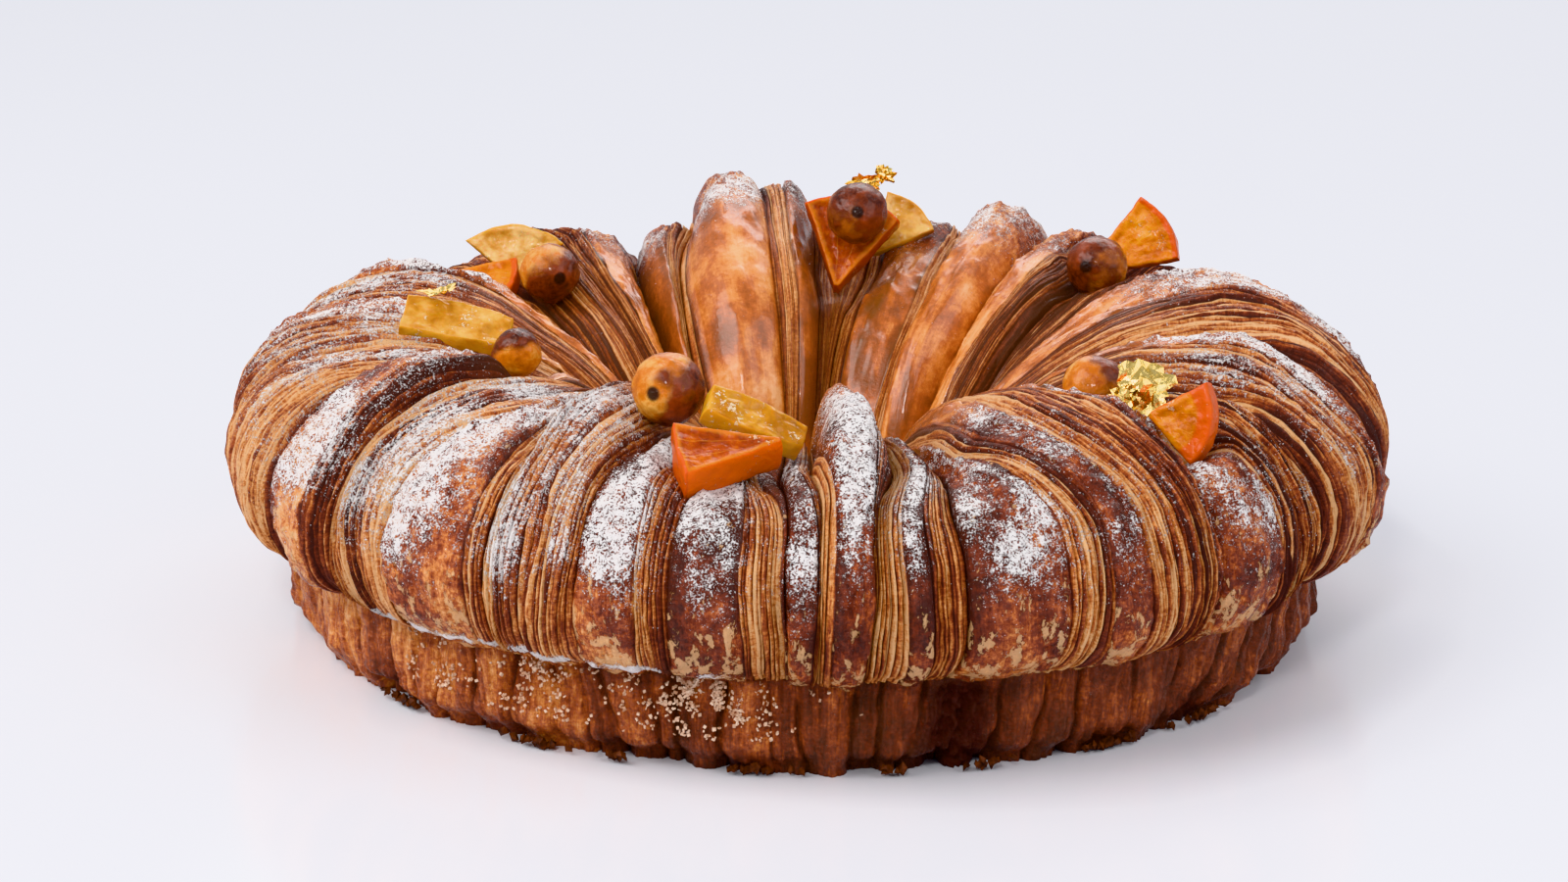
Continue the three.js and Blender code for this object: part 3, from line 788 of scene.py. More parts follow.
def pleats(arc, count, seed):
    """For each place on the wall: its pleat's number and width, and where across it, -1 to 1."""
    widths = np.random.default_rng(seed).uniform(0.4, 1.7, count)
    edges = np.concatenate([[0], np.cumsum(widths)]) * ROUND_WALL / widths.sum()
    place = arc % ROUND_WALL
    number = np.clip(np.searchsorted(edges, place, side="right") - 1, 0, count - 1)
    wide = edges[number + 1] - edges[number]
    return number, wide, 2 * (place - edges[number]) / wide - 1


# for each burnt place: azimuth, width in degrees, height and strength
BURNT = ((286, 3.6, 19, 1.5), (222, 2.5, 9, 0.7), (236, 1.6, 5, 0.6), (264, 3.0, 4, 0.8),
         (303, 2.0, 5, 0.7), (316, 3.0, 8, 0.8), (40, 3.0, 6, 0.7), (118, 3.0, 7, 0.7),
         (171, 3.0, 6, 0.7))


def burnt(degrees, z):
    """Where sugar ran out between the pleats and burnt."""
    amount = np.zeros(np.broadcast(degrees, z).shape)
    for at, wide, high, strength in BURNT:
        here = strength * bell(degrees_from(degrees, at), 0, wide)
        amount = np.maximum(amount, here * smoothstep(z, high + 3, high - 3))
    return amount


def band_grid():
    """What every field over the band is worked out from, as lines by rows."""
    b = SimpleNamespace()
    b.z = np.concatenate([np.linspace(21.6, 1.6, BAND_ROWS), [1.0, 0.5, 0.0]])[None, :]
    b.angle = np.linspace(0, 2 * np.pi, BAND_LINES, endpoint=False)[:, None]
    b.arc, b.degrees = b.angle * WALL_RADIUS, np.degrees(b.angle) % 360
    slant = 3.2 * noise(40, np.cos(b.angle) * 5, np.sin(b.angle) * 5) * (b.z - 10) / 10
    b.ripple = 1.4 * noise(41, np.cos(b.angle) * 14, np.sin(b.angle) * 14, b.z / 9) + slant
    b.crease = near_seam(b.angle + 0.4 * b.ripple / WALL_RADIUS)
    b.number, b.wide, b.inside = pleats(b.arc + 1.3 * b.ripple, WIDE_PLEATS, 5)
    b.small, b.small_wide, b.small_inside = pleats(b.arc + 1.2 * b.ripple + 9, NARROW_PLEATS, 6)
    b.chance = hashed(51, [b.number])
    b.bulge = (1 - np.abs(b.inside) ** 2.6) * np.minimum(0.22 * b.wide, 1.7)
    kept = smoothstep(noise(50, b.arc / 3.5, b.z / 6), -0.5, 0.3)
    b.cut = kept * bell((1 - np.abs(b.inside)) * b.wide / 2, 0, 0.4)
    b.burnt, b.foot = burnt(b.degrees, b.z), smoothstep(b.z, 8.0, 0)
    return b


def band_points(b):
    """Its wall, pleat by pleat, with a scalloped foot, and the plain inner side."""
    leaves = (1 - np.abs(b.small_inside) ** 2) * np.minimum(0.22 * b.small_wide, 0.45)
    leaves = leaves + 0.22 * hashed(52, [b.small])
    leaves = leaves + 0.20 * noise(55, (b.arc + b.ripple) / 0.7, b.z / 5)
    lump = 0.9 * noise(43, b.arc / 11, b.z / 30 + 4) + 0.8 * noise(44, b.arc / 4.5, b.z / 7)
    dents = (0.35 + 0.3 * smoothstep(b.z, 9, 2)) * rough(47, 3, b.arc / 3.4, b.z / 3)
    wall = WALL_RADIUS - 0.07 * (BAND_HEIGHT - b.z) - (4.4 + 1.6 * b.chance) * b.foot**2.0
    wall = wall - 1.6 * smoothstep(b.z, 20.4, 21.6)
    radius = wall + lump + b.bulge - 0.9 * b.crease - 0.8 * b.cut + leaves + dents - 2.2 * b.burnt
    radius = radius + 1.0 * b.burnt * rough(53, 3, b.arc / 1.5, b.z / 1.5)
    under = 0.5 + 0.7 * b.chance + 0.9 * np.abs(b.inside) ** 3
    scallop = np.clip(under, 0, 4) * smoothstep(b.z, 6, 1) * (b.z > 0.2)
    outer = round_axis(np.minimum(radius, TIN_RADIUS + 0.6), b.angle, b.z + scallop)
    inner = [round_axis(r, b.angle, np.full_like(b.angle, z)) for r, z in INNER_WALL]
    return np.concatenate([outer] + inner, axis=1)


def band_tone(b):
    """Darker than the folds and at the foot. Painted shade in the creases, in the cuts between pleats, under
    the folds' lip and at the front; painted light on the pleats' bulges and at the left.
    """
    # painted light at the left, where the key lamp falls, and painted shade in the creases and the cuts
    # between pleats
    painted_left_light = np.cos(b.angle - math.radians(222))
    tone = 0.75 - 0.29 * np.maximum(painted_left_light, 0) ** 3 + 0.22 * b.crease + 0.30 * b.cut
    # painted light on the pleats' bulges
    tone = tone - 0.06 * b.bulge + 0.08 * b.chance
    tone = tone + 0.10 * hashed(54, [b.small]) + 0.10 * rough(49, 2, b.arc / 6, b.z / 9)
    tone = tone + 0.18 * b.foot + 0.45 * b.burnt
    # painted shade under the folds' lip at the top of the band and on the front
    return tone + 0.14 * smoothstep(b.z, 18.5, 21) + 0.09 * bell(b.degrees, 282, 26)


def crystal_amount(az, share):
    """How thickly coarse sugar sticks to the band, from its top (share 0) down."""
    clumps = bell(az, 229, 3.0) * 0.5 + bell(az, 241, 3.5) * 0.7 + 1.2 * bell(az, 261, 6.0)
    return np.clip(clumps * (0.1 + 1.5 * noise(72, az / 1.1, share * 5)) * (1 - 0.7 * share), 0, 1)


def build_band():
    b = band_grid()
    tone = band_tone(b)

    def with_inner(field, filler=0.0):
        wall = np.broadcast_to(field, tone.shape)
        return np.concatenate([wall, np.full((BAND_LINES, len(INNER_WALL)), filler)], axis=1)

    flow = np.stack(np.broadcast_arrays(b.arc, with_inner(b.z), 0.0), axis=-1)
    attributes = {
        "tone": with_inner(tone, INSIDE_SHADE_TONE), "flow": flow, "skin": with_inner(0.62, 0.62),
        "dust": with_inner(0.25 * crystal_amount(b.degrees, (20 - b.z) / 12)),
        "calm": with_inner(0.22 * (1 - np.clip(b.burnt, 0, 1)))}
    return closed_ring("tin_band", band_points(b), attributes)


band = build_band()
print("band faces:", len(band.data.polygons), " volume:", round(volume_cm3(band)), "cm3")

# %% [markdown]
# ## Toppings in the places that were measured
#
# Each topping is modelled lying flat round its own middle, then turned as the
# measured piece is and set into the same box. The turn is three angles, used in
# the order x, y, z.

# %% Turn and place a topping
SINK = 0.3


def turn_matrix(turn):
    x, y, z = (math.radians(a) for a in turn)
    whole = Matrix.Rotation(x, 3, "X") @ Matrix.Rotation(y, 3, "Y") @ Matrix.Rotation(z, 3, "Z")
    return np.array(whole)


def placed(name, points):
    """Points round the piece's own middle, turned, set in the measured box and sunk a little."""
    turned = np.asarray(points) @ turn_matrix(TOPPINGS[name][4]).T
    low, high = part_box(name)
    middle = (np.array(low) + np.array(high)) / 2 / MM
    shift = middle - (turned.min(axis=0) + turned.max(axis=0)) / 2
    shift[2] -= SINK
    return (turned + shift) * MM


# %% [markdown]
# ## Candied fruit
#
# A wedge of candied orange is a slab with soft edges: peel along its curved side,
# then a paler line of pith, then flesh whose segments run to the point. A citron
# strip is a slab of clear peel. Both are made the same way, from a flat outline
# that is filled by a grid, with a thickness that rounds off towards the edge.

# %% Slabs with rounded edges
RIM, CRISP = 0.7, 3.6


def edge_steps(count, length):
    """Steps from 0 to 1 that follow the round of the edge near both ends."""
    heights = np.array([0, 0.25, 0.5, 0.7, 0.85, 0.95, 0.99])
    rim = RIM / length * (1 - (1 - heights**CRISP) ** (1 / CRISP))
    middle = np.linspace(RIM / length, 1 - RIM / length, count)
    return np.concatenate([rim, middle, (1 - rim)[::-1]])


def fade(distance):
    """The round of a slab's edge: 0 at the outline, and 1 from RIM inwards."""
    return (1 - (1 - np.clip(distance / RIM, 0, 1)) ** CRISP) ** (1 / CRISP)


def slab(outline, u, v, thickness, seed, hollow, attributes):
    """A closed slab. outline(u, v) gives x and y; the thickness falls to 0 at the outline."""
    uu, vv = np.meshgrid(u, v, indexing="ij")
    x, y = outline(uu, vv)
    long_way = np.hypot(x[-1] - x[0], y[-1] - y[0])[None, :]
    short_way = np.maximum(np.hypot(x[:, -1] - x[:, 0], y[:, -1] - y[:, 0]), 0.5)[:, None]
    edge_u = np.minimum(uu, 1 - uu) * long_way
    edge_v = np.minimum(vv, 1 - vv) * short_way
    round_off = np.minimum(fade(edge_u), fade(edge_v))
    from_outline = np.minimum(edge_u, edge_v)
    dent = rough(seed, 3, x / 2.6, y / 2.6) * smoothstep(from_outline, 0, 1.5)
    sunk = hollow * smoothstep(from_outline, 0.7, 2.4)
    top = round_off * (thickness / 2 - sunk + 0.32 * dent)
    bottom = -round_off * (thickness / 2 + 0.2 * rough(seed + 9, 2, x / 4, y / 4))
    number = np.arange(x.size).reshape(x.shape)
    edge = from_outline < 1e-9
    under = number.copy()
    under[~edge] = x.size + np.arange((~edge).sum())
    upper = np.stack([x, y, top], axis=-1).reshape(-1, 3)
    lower = np.stack([x, y, bottom], axis=-1)[~edge]
    faces = [np.vstack([patch_faces(number.T), patch_faces(under.T)[:, ::-1]])]
    full = {"rim": np.concatenate([from_outline.reshape(-1), from_outline[~edge]])}
    for key, field in attributes(uu, vv).items():
        full[key] = np.concatenate([field.reshape(-1), field[~edge]])
    points = np.vstack([upper, lower])
    wobble = 0.26 * np.stack([rough(seed + s, 3, *(points / 4).T) for s in (3, 4)], axis=-1)
    points[:, :2] += wobble
    return points, faces, full


def wedge_slab(size, seed, rind):
    """A wedge cut from a round slice: u runs from its point to the bowed rind."""
    length, width, bow, thickness = size

    def outline(u, v):
        far = length + 4 * bow * v * (1 - v)
        return lerp(0.0, far, u), lerp(lerp(-0.6, 0.6, v), lerp(-width / 2, width / 2, v), u)

    def fields(u, v):
        from_peel = (length + 4 * bow * v * (1 - v)) * (1 - u)
        return {"peel": from_peel / rind, "ray": v * 3.0}

    u, v = edge_steps(44, length), edge_steps(42, width)
    return slab(outline, u, v, thickness, seed, 0.45, fields)


def strip_slab(size, seed, rind):
    length, width, bow, thickness = size

    def outline(u, v):
        x = lerp(-length / 2, length / 2, u)
        low = -2 * bow * u * (1 - u)
        high = width * lerp(1.0, 0.8, u) + 2 * (0.1 * width + bow) * u * (1 - u)
        return x, lerp(low, high, v)

    def fields(u, v):
        return {"peel": (1 - v) * width / rind, "ray": u * 4.0}

    u, v = edge_steps(58, length), edge_steps(34, width)
    return slab(outline, u, v, thickness, seed, 0.15, fields)


# %% Make the fruit
# for each piece: how dark its flesh is, how thick its rind is, and how much sugar it has
FRUIT_LOOKS = {
    "orange_front": (1.0, 0.7, 0.1), "citron_front": (0.85, 1.2, 0.6),
    "citron_left": (0.60, 1.0, 0.3), "orange_back_left": (0.35, 1.5, 0.1),
    "citron_back_left": (0.20, 0.8, 0.1), "orange_back": (1.6, 0.7, 0.2),
    "citron_back": (0.25, 1.0, 0.2), "orange_back_right": (0.10, 1.3, 0.2),
    "orange_right": (0.40, 3.3, 0.1),
}
SLABS = {"wedge": wedge_slab, "strip": strip_slab}
fruit = {}
for number, (name, (shape, size, _, _, _)) in enumerate(TOPPINGS.items()):
    if shape in SLABS:
        dark, rind, frost = FRUIT_LOOKS[name]
        points, faces, fields = SLABS[shape](size, 300 + 20 * number, rind)
        points -= (points.min(axis=0) + points.max(axis=0)) / 2
        fields["dark"] = np.full(len(points), dark)
        fields["frost"] = np.full(len(points), frost)
        fruit[name] = make_object("fruit_" + name, placed(name, points), faces, fields)
print("fruit in cm3:", {name: round(volume_cm3(piece), 1) for name, piece in fruit.items()})

# %% [markdown]
# ## Caramelised hazelnuts
#
# A hazelnut is nearly a ball, with a blunt tip and a round scar where it sat in
# its husk. The caramel is thicker on one side and stands in drops and ridges.

# %% Build the nuts
NUT_RINGS, NUT_AROUND = ((60, 84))


def nut_points(diameter, seed):
    """A ball of rings from tip to scar, with poles closed by one point each."""
    polar = np.linspace(0, np.pi, NUT_RINGS + 1)[1:-1][:, None]
    turn = np.linspace(0, 2 * np.pi, NUT_AROUND, endpoint=False)[None, :]
    way = round_axis(np.sin(polar), turn, np.cos(polar))
    way = np.concatenate([way.reshape(-1, 3), [[0, 0, 1], [0, 0, -1]]])
    up = way[:, 2]
    x, y, z = way.T
    coat = rough(seed, 3, x * 1.3 + 7, y * 1.3, z * 1.3)
    size = 1 + 0.06 * np.clip(up, 0, 1) ** 6 - 0.06 * smoothstep(-up, 0.80, 0.97)
    size = size + 0.012 * np.sin(3 * np.arctan2(y, x)) * (1 - up**2)
    size = size + 0.020 * rough(seed + 5, 2, x * 3, y * 3, z * 3)
    size = size + 0.03 * smoothstep(coat, 0.1, 0.5)
    groove = np.abs(noise(seed + 8, np.arctan2(y, x) * 4.2, up * 0.8))
    size = size - 0.012 * np.exp(-((groove / 0.12) ** 2)) * (1 - up**4)
    return way * (size * diameter / 2)[:, None], coat


def nut_faces():
    number = np.arange((NUT_RINGS - 1) * NUT_AROUND).reshape(NUT_RINGS - 1, NUT_AROUND)
    side = np.roll(number, -1, axis=1)
    quads = np.stack([number[:-1], number[1:], side[1:], side[:-1]], -1).reshape(-1, 4)
    tip, scar = number[-1, -1] + 1, number[-1, -1] + 2
    top = np.stack([np.full(NUT_AROUND, tip), number[0], side[0]], -1)
    bottom = np.stack([np.full(NUT_AROUND, scar), side[-1], number[-1]], -1)
    return [quads, np.vstack([top, bottom])]


# for each nut: how much of it is dark, the side where the caramel ran, and where its eye is
NUT_LOOKS = {
    "hazelnut_front": (0.15, (1.20, -0.05, -0.60), (-0.39, -0.91, 0.13)),
    "hazelnut_left": (0.05, (-0.30, 0.30, 0.90), (0.00, 0.00, -1.00)),
    "hazelnut_back_left": (0.55, (0.55, -0.30, -0.75), (0.39, -0.92, 0.05)),
    "hazelnut_back": (0.60, (0.30, 0.10, 0.30), (0.00, -0.96, 0.28)),
    "hazelnut_back_right": (0.35, (-0.70, -0.20, 0.50), (-0.45, -0.87, 0.20)),
    "hazelnut_right": (0.10, (0.95, 0.00, 0.20), (0.00, 0.00, -1.00)),
}
nuts = {}
for number, (name, (shape, size, _, _, _)) in enumerate(TOPPINGS.items()):
    if shape == "nut":
        points, coat = nut_points(size[0], 500 + 20 * number)
        spots = placed(name, points)
        out = spots - (spots.min(axis=0) + spots.max(axis=0)) / 2
        out = out / np.linalg.norm(out, axis=1)[:, None]
        bias, dark_side, eye_side = NUT_LOOKS[name]
        coat = coat * 0.5 + bias + 0.9 * (out @ np.array(dark_side))
        eye = smoothstep(out @ np.array(eye_side), 0.968, 0.986)
        nuts[name] = make_object("nut_" + name, spots, nut_faces(), {"coat": coat, "eye": eye})
print("nuts in cm3:", {name: round(volume_cm3(piece), 1) for name, piece in nuts.items()})

# %% [markdown]
# ## Gold leaf
#
# Gold leaf is so thin that it crumples under its own weight. Each flake is a
# ragged sheet, folded by noise, and given a back so that it is closed.

# %% Build the flakes of gold leaf
LEAF_STEPS, HALF_LEAF = 9, 0.04
# for each flake: its middle, its size, its turn and its seed
FLAKES = [
    ((-76.3, -13.0, 69.6), (9.0, 5.0), (14, -12, 20), 1),
    ((12.5, 76.0, 74.2), (10.0, 5.5), (60, 10, 10), 2),
    ((17.0, 77.0, 76.4), (6.5, 5.5), (80, -24, -15), 3),
    ((64.8, -62.0, 65.4), (14.0, 13.0), (58, 15, 10), 4),
    ((61.0, -63.0, 63.5), (9.0, 7.0), (80, -25, 40), 5),
]


def in_triangles(quads):
    return np.vstack([quads[:, [0, 1, 2]], quads[:, [0, 2, 3]]])


def flake_points(middle, size, turn, seed):
    """A ragged sheet, creased into flat facets more than a millimetre wide."""
    steps = np.linspace(-1, 1, LEAF_STEPS)
    u, v = np.meshgrid(steps, steps, indexing="ij")
    around = np.arctan2(v, u)
    square = np.maximum(np.abs(u), np.abs(v)) / np.maximum(np.hypot(u, v), 1e-6)
    ragged = 0.25 * noise(600 + seed, around * 1.6 + 9)
    edge = square * (0.82 + ragged + 0.20 * noise(610 + seed, around * 5 + 9))
    x, y = u * edge * size[0] / 2, v * edge * size[1] / 2
    cells = [np.round(u * LEAF_STEPS), np.round(v * LEAF_STEPS)]
    crease = 1.5 * noise(620 + seed, x / 4.5, y / 4.5) + 0.40 * hashed(630 + seed, cells)
    x = x + 0.3 * hashed(640 + seed, cells)
    heights = crease + HALF_LEAF, crease - HALF_LEAF
    sides = [np.stack([x, y, height], axis=-1).reshape(-1, 3) for height in heights]
    points = np.vstack(sides) @ turn_matrix(turn).T + np.array(middle)
    number = np.arange(x.size).reshape(x.shape)
    front = in_triangles(patch_faces(number.T))
    rim = np.concatenate([number[:-1, 0], number[-1, :-1], number[:0:-1, -1], number[0, :0:-1]])
    following = np.roll(rim, -1)
    side = in_triangles(np.stack([following, rim, rim + x.size, following + x.size], -1))
    return points, np.vstack([front, front[:, ::-1] + x.size, side])


gold_points, gold_faces, count = [], [], 0
for flake in FLAKES:
    points, faces = flake_points(*flake)
    gold_points.append(points)
    gold_faces.append(faces + count)
    count += len(points)
gold_points = to_metres(np.vstack(gold_points))
gold = make_object("gold_leaf", gold_points, [np.vstack(gold_faces)], smooth=False)
print("gold leaf flakes:", len(FLAKES), " volume:", round(volume_cm3(gold), 3), "cm3")

# %% [markdown]
# ## Scattering sugar and crumbs with Geometry Nodes
#
# Icing sugar is thousands of grains that lie where the crust faces up. Geometry
# Nodes do this well: points are strewn over a carrier mesh, as thickly as a
# number on the mesh says, and a small grain is set on each point. The tree below
# has named inputs for the amount and the size, so one tree makes the icing sugar,
# the coarse crystals and the crumbs. It ends in real geometry, since instances
# don't leave Blender.

# %% Build the scatter tree
def put(tree, kind, sockets=None, **settings):
    """A new node. Each socket is set to a value, or linked when the value is another socket."""
    node = tree.nodes.new(kind)
    for key, value in settings.items():
        setattr(node, key, value)
    for key, value in (sockets or {}).items():
        value = getattr(value, "socket", value)
        if isinstance(value, bpy.types.NodeSocket):
            tree.links.new(value, node.inputs[key])
        else:
            node.inputs[key].default_value = value
    return node


SCATTER_INPUTS = {
    "Carrier": "Geometry", "Grain": "Object", "Grains per square metre": "Float",
    "Smallest": "Float", "Largest": "Float", "Seed": "Int", "Material": "Material"}


def scatter_tree():
    """The tree, and the identifier of each of its inputs."""
    tree = bpy.data.node_groups.new("Scatter grains", "GeometryNodeTree")
    socket, ids = tree.interface.new_socket, {}
    for name, kind in SCATTER_INPUTS.items():
        ids[name] = socket(name=name, in_out="INPUT", socket_type="NodeSocket" + kind).identifier
    socket(name="Grains", in_out="OUTPUT", socket_type="NodeSocketGeometry")
    given = put(tree, "NodeGroupInput").outputs
    amount = put(tree, "GeometryNodeInputNamedAttribute", {"Name": "amount"}, data_type="FLOAT")
    amounts = {0: amount.outputs["Attribute"], 1: given["Grains per square metre"]}
    density = put(tree, "ShaderNodeMath", amounts, operation="MULTIPLY").outputs["Value"]
    strewn = put(tree, "GeometryNodeDistributePointsOnFaces", {
        "Mesh": given["Carrier"], "Density": density, "Seed": given["Seed"]})
    shape = put(tree, "GeometryNodeObjectInfo", {"Object": given["Grain"]})
    turn = put(tree, "FunctionNodeRandomValue", data_type="FLOAT_VECTOR")
    turn.inputs["Max"].default_value = (6.28, 6.28, 6.28)
    size = put(tree, "FunctionNodeRandomValue", {
        "Min": given["Smallest"], "Max": given["Largest"]}, data_type="FLOAT_VECTOR")
    grains = put(tree, "GeometryNodeInstanceOnPoints", {
        "Points": strewn.outputs["Points"], "Instance": shape.outputs["Geometry"],
        "Rotation": turn.outputs["Value"], "Scale": size.outputs["Value"]})
    real = put(tree, "GeometryNodeRealizeInstances", {"Geometry": grains.outputs["Instances"]})
    painted = put(tree, "GeometryNodeSetMaterial", {
        "Geometry": real.outputs["Geometry"], "Material": given["Material"]})
    put(tree, "NodeGroupOutput", {"Grains": painted.outputs["Geometry"]})
    return tree, ids


SCATTER, SCATTER_IDS = scatter_tree()


def grain_object(name, size, blocky):
    """One grain, size in millimetres: an eight-sided lump, or a six-sided crystal."""
    s = size * MM / 2
    if blocky:
        sides = itertools.product((-s, s), (-0.8 * s, 0.8 * s), (-0.9 * s, 0.9 * s))
        faces = [(0, 1, 3, 2), (4, 6, 7, 5), (0, 4, 5, 1), (2, 3, 7, 6), (0, 2, 6, 4), (1, 5, 7, 3)]
        return make_object(name, list(sides), [np.array(faces)], smooth=False)
    tips = [(s, 0, 0), (-s, 0, 0), (0, s, 0), (0, -s, 0), (0, 0, s), (0, 0, -s)]
    faces = [(0, 2, 4), (2, 1, 4), (1, 3, 4), (3, 0, 4), (2, 0, 5), (1, 2, 5), (3, 1, 5), (0, 3, 5)]
    return make_object(name, tips, [np.array(faces)], smooth=False)


def scatter(name, carrier, grain, amount, sizes, seed, paint):
    """Strews grains over a carrier, and keeps the result as a plain mesh."""
    modifier = carrier.modifiers.new("Scatter", "NODES")
    modifier.node_group = SCATTER
    values = {"Grain": grain, "Grains per square metre": float(amount), "Seed": seed,
              "Smallest": float(sizes[0]), "Largest": float(sizes[1]), "Material": paint}
    for key, value in values.items():
        modifier[SCATTER_IDS[key]] = value
    graph = bpy.context.evaluated_depsgraph_get()
    graph.update()
    mesh = bpy.data.meshes.new_from_object(carrier.evaluated_get(graph))
    made = put_in_scene(name, mesh)
    carrier.modifiers.clear()
    for extra in (carrier, grain):
        bpy.data.objects.remove(extra)
    print(name, "faces:", len(mesh.polygons))
    return made


# %% [markdown]
# ## Building materials from nodes
#
# A material is a small graph: coordinates and attributes go in, noise and ramps
# shape them, and a Principled shader takes the result. A few short helpers keep
# each graph readable.

# %% Node helpers
class Field:
    """What comes out of a node. Sums and products of fields are made as further nodes."""

    def __init__(self, tree, socket):
        self.tree, self.socket = tree, socket

    def made(self, kind, output, sockets, **settings):
        return Field(self.tree, put(self.tree, kind, sockets, **settings).outputs[output])

    def math(self, operation, a, b=0.0, **settings):
        return self.made("ShaderNodeMath", 0, {0: a, 1: b}, operation=operation, **settings)

    def __add__(self, other):
        return self.math("ADD", self, other)

    def __sub__(self, other):
        return self.math("SUBTRACT", self, other)

    def __rsub__(self, other):
        return self.math("SUBTRACT", other, self)

    def __mul__(self, other):
        return self.math("MULTIPLY", self, other)


def attribute(tree, name, output="Fac"):
    return Field(tree, put(tree, "ShaderNodeAttribute", attribute_name=name).outputs[output])


def object_space(tree):
    return Field(tree, put(tree, "ShaderNodeTexCoord").outputs["Object"])


def between(value, low, high, to_low=0.0, to_high=1.0):
    """value eased from low..high to to_low..to_high."""
    sockets = {"Value": value, "From Min": low, "From Max": high,
               "To Min": to_low, "To Max": to_high}
    return value.made("ShaderNodeMapRange", "Result", sockets, interpolation_type="SMOOTHSTEP")


def stretched(vector, factors):
    sockets = {0: vector, 1: factors}
    return vector.made("ShaderNodeVectorMath", "Vector", sockets, operation="MULTIPLY")


def grain(vector, scale, detail=3.0, roughness=0.55):
    sockets = {"Vector": vector, "Scale": scale, "Detail": detail, "Roughness": roughness}
    return vector.made("ShaderNodeTexNoise", "Fac", sockets)


def blend(factor, a, b):
    return factor.made("ShaderNodeMix", 2, {0: factor, 6: a, 7: b}, data_type="RGBA")


def ramp(value, *stops):
    node = put(value.tree, "ShaderNodeValToRGB", {"Fac": value})
    for element, (place, colour) in zip(node.color_ramp.elements, (stops[0], stops[-1])):
        element.position, element.color = place, (*colour, 1)
    for place, colour in stops[1:-1]:
        node.color_ramp.elements.new(place).color = (*colour, 1)
    return Field(value.tree, node.outputs["Color"])


def bump(height, distance, strength=1.0):
    sockets = {"Height": height, "Distance": distance, "Strength": strength}
    return height.made("ShaderNodeBump", "Normal", sockets)


def material_of(name, build, **fixed):
    """A material with a Principled shader: fixed numbers, and fields from build."""
    made = bpy.data.materials.new(name)
    made.use_nodes = True
    tree = made.node_tree
    tree.nodes.clear()
    sockets = {key.replace("_", " "): value for key, value in fixed.items()}
    shader = put(tree, "ShaderNodeBsdfPrincipled", {**sockets, **build(tree)})
    put(tree, "ShaderNodeOutputMaterial", {"Surface": shader.outputs["BSDF"]})
    return made


# %% [markdown]
# ## The crust
#
# Baked dough has one scale of colour, from pale tan where it was shielded to
# almost black where it caught the heat, so one ramp serves the whole loaf and a
# tone attribute says where on it a place lies. That tone also carries painted
# shade, in the grooves, valleys and creases and on the side away from the key
# lamp, and painted light at the left and at the layers' raised edges. Fine streaks
# run along the layers. The skin is mottled, glossy with egg wash, and flakes off
# pale near the rim. Down in the hole and on the band the crust is smoother and more
# golden: an attribute named calm says how much. Over it all lies the finest sugar,
# too small to model, as a speckled white.

# %% Crust material
CRUST_TONES = (
    (0.0, (0.88, 0.500, 0.240)), (0.20, (0.74, 0.288, 0.086)), (0.42, (0.430, 0.102, 0.031)),
    (0.64, (0.190, 0.034, 0.014)), (1.0, (0.062, 0.012, 0.006)))
SUGAR_WHITE = (0.91, 0.88, 0.87, 1)
FLAKE_TAN = (0.80, 0.47, 0.230, 1)
CALM_GOLD = (0.60, 0.235, 0.042, 1)


def crust_nodes(tree):
    where, flow = object_space(tree), attribute(tree, "flow", "Vector")
    tone, skin, dust, calm = (attribute(tree, key) for key in ("tone", "skin", "dust", "calm"))
    lively = 1.0 - calm * 0.55
    streak = grain(stretched(flow, (1.0, 0.08, 0.0)), 1.9, 5.0, 0.75)
    crinkle = grain(stretched(flow, (0.5, 1.0, 0.0)), 1.7, 4.0, 0.7)
    mottle, patches = grain(where, 780.0, 5.0, 0.72), grain(where, 150.0, 4.0)
    # for each field: how much it counts on the layers, and how much on the skin
    weights = (streak, 1.8, 0.9), (crinkle, 1.0, 0.3), (mottle, 0.5, 1.5), (patches, 0.5, 1.1)
    for field, on_layers, on_skin in weights:
        weight = (skin * (on_skin - on_layers) + on_layers) * lively
        tone = tone + (field - 0.5) * weight
    colour = blend(calm * 0.22, ramp(tone, *CRUST_TONES), CALM_GOLD)
    height = where.made("ShaderNodeSeparateXYZ", "Z", {"Vector": where})
    low = between(height, 0.046, 0.024, -0.05, 0.085)
    flake = between(grain(stretched(where, (1.0, 1.0, 0.5)), 380.0, 5.0, 0.65) + low, 0.590, 0.618)
    flake = flake * between(skin, 0.6, 0.9) * between(calm, 0.5, 0.1)
    colour = blend(flake * 0.70, colour, FLAKE_TAN)
    speckle = grain(where, 2500.0, 2.0, 0.6) * 0.6 + grain(where, 640.0, 3.0, 0.6) * 0.4
    cover = (speckle - 0.5) * 3.0 + 0.5 + dust * 0.74
    white = between(cover, 0.92, 1.28, 0.0, 0.90)
    gloss = 0.47 - (skin + calm * 0.5) * 0.26 + (mottle - 0.5) * 0.4
    roughness = gloss.math("ADD", gloss, white * 0.35, use_clamp=True)
    relief = (streak + crinkle) * ((1.0 - skin) * 0.8) + mottle * (1.15 - calm * 0.87)
    relief = relief + flake * 0.35 + white * 0.45
    return {"Base Color": blend(white, colour, SUGAR_WHITE), "Roughness": roughness,
            "Coat Weight": calm * 0.35, "Normal": bump(relief, 0.0009, 0.9)}


CRUST = material_of("Brioche crust", crust_nodes, Specular_IOR_Level=0.42)


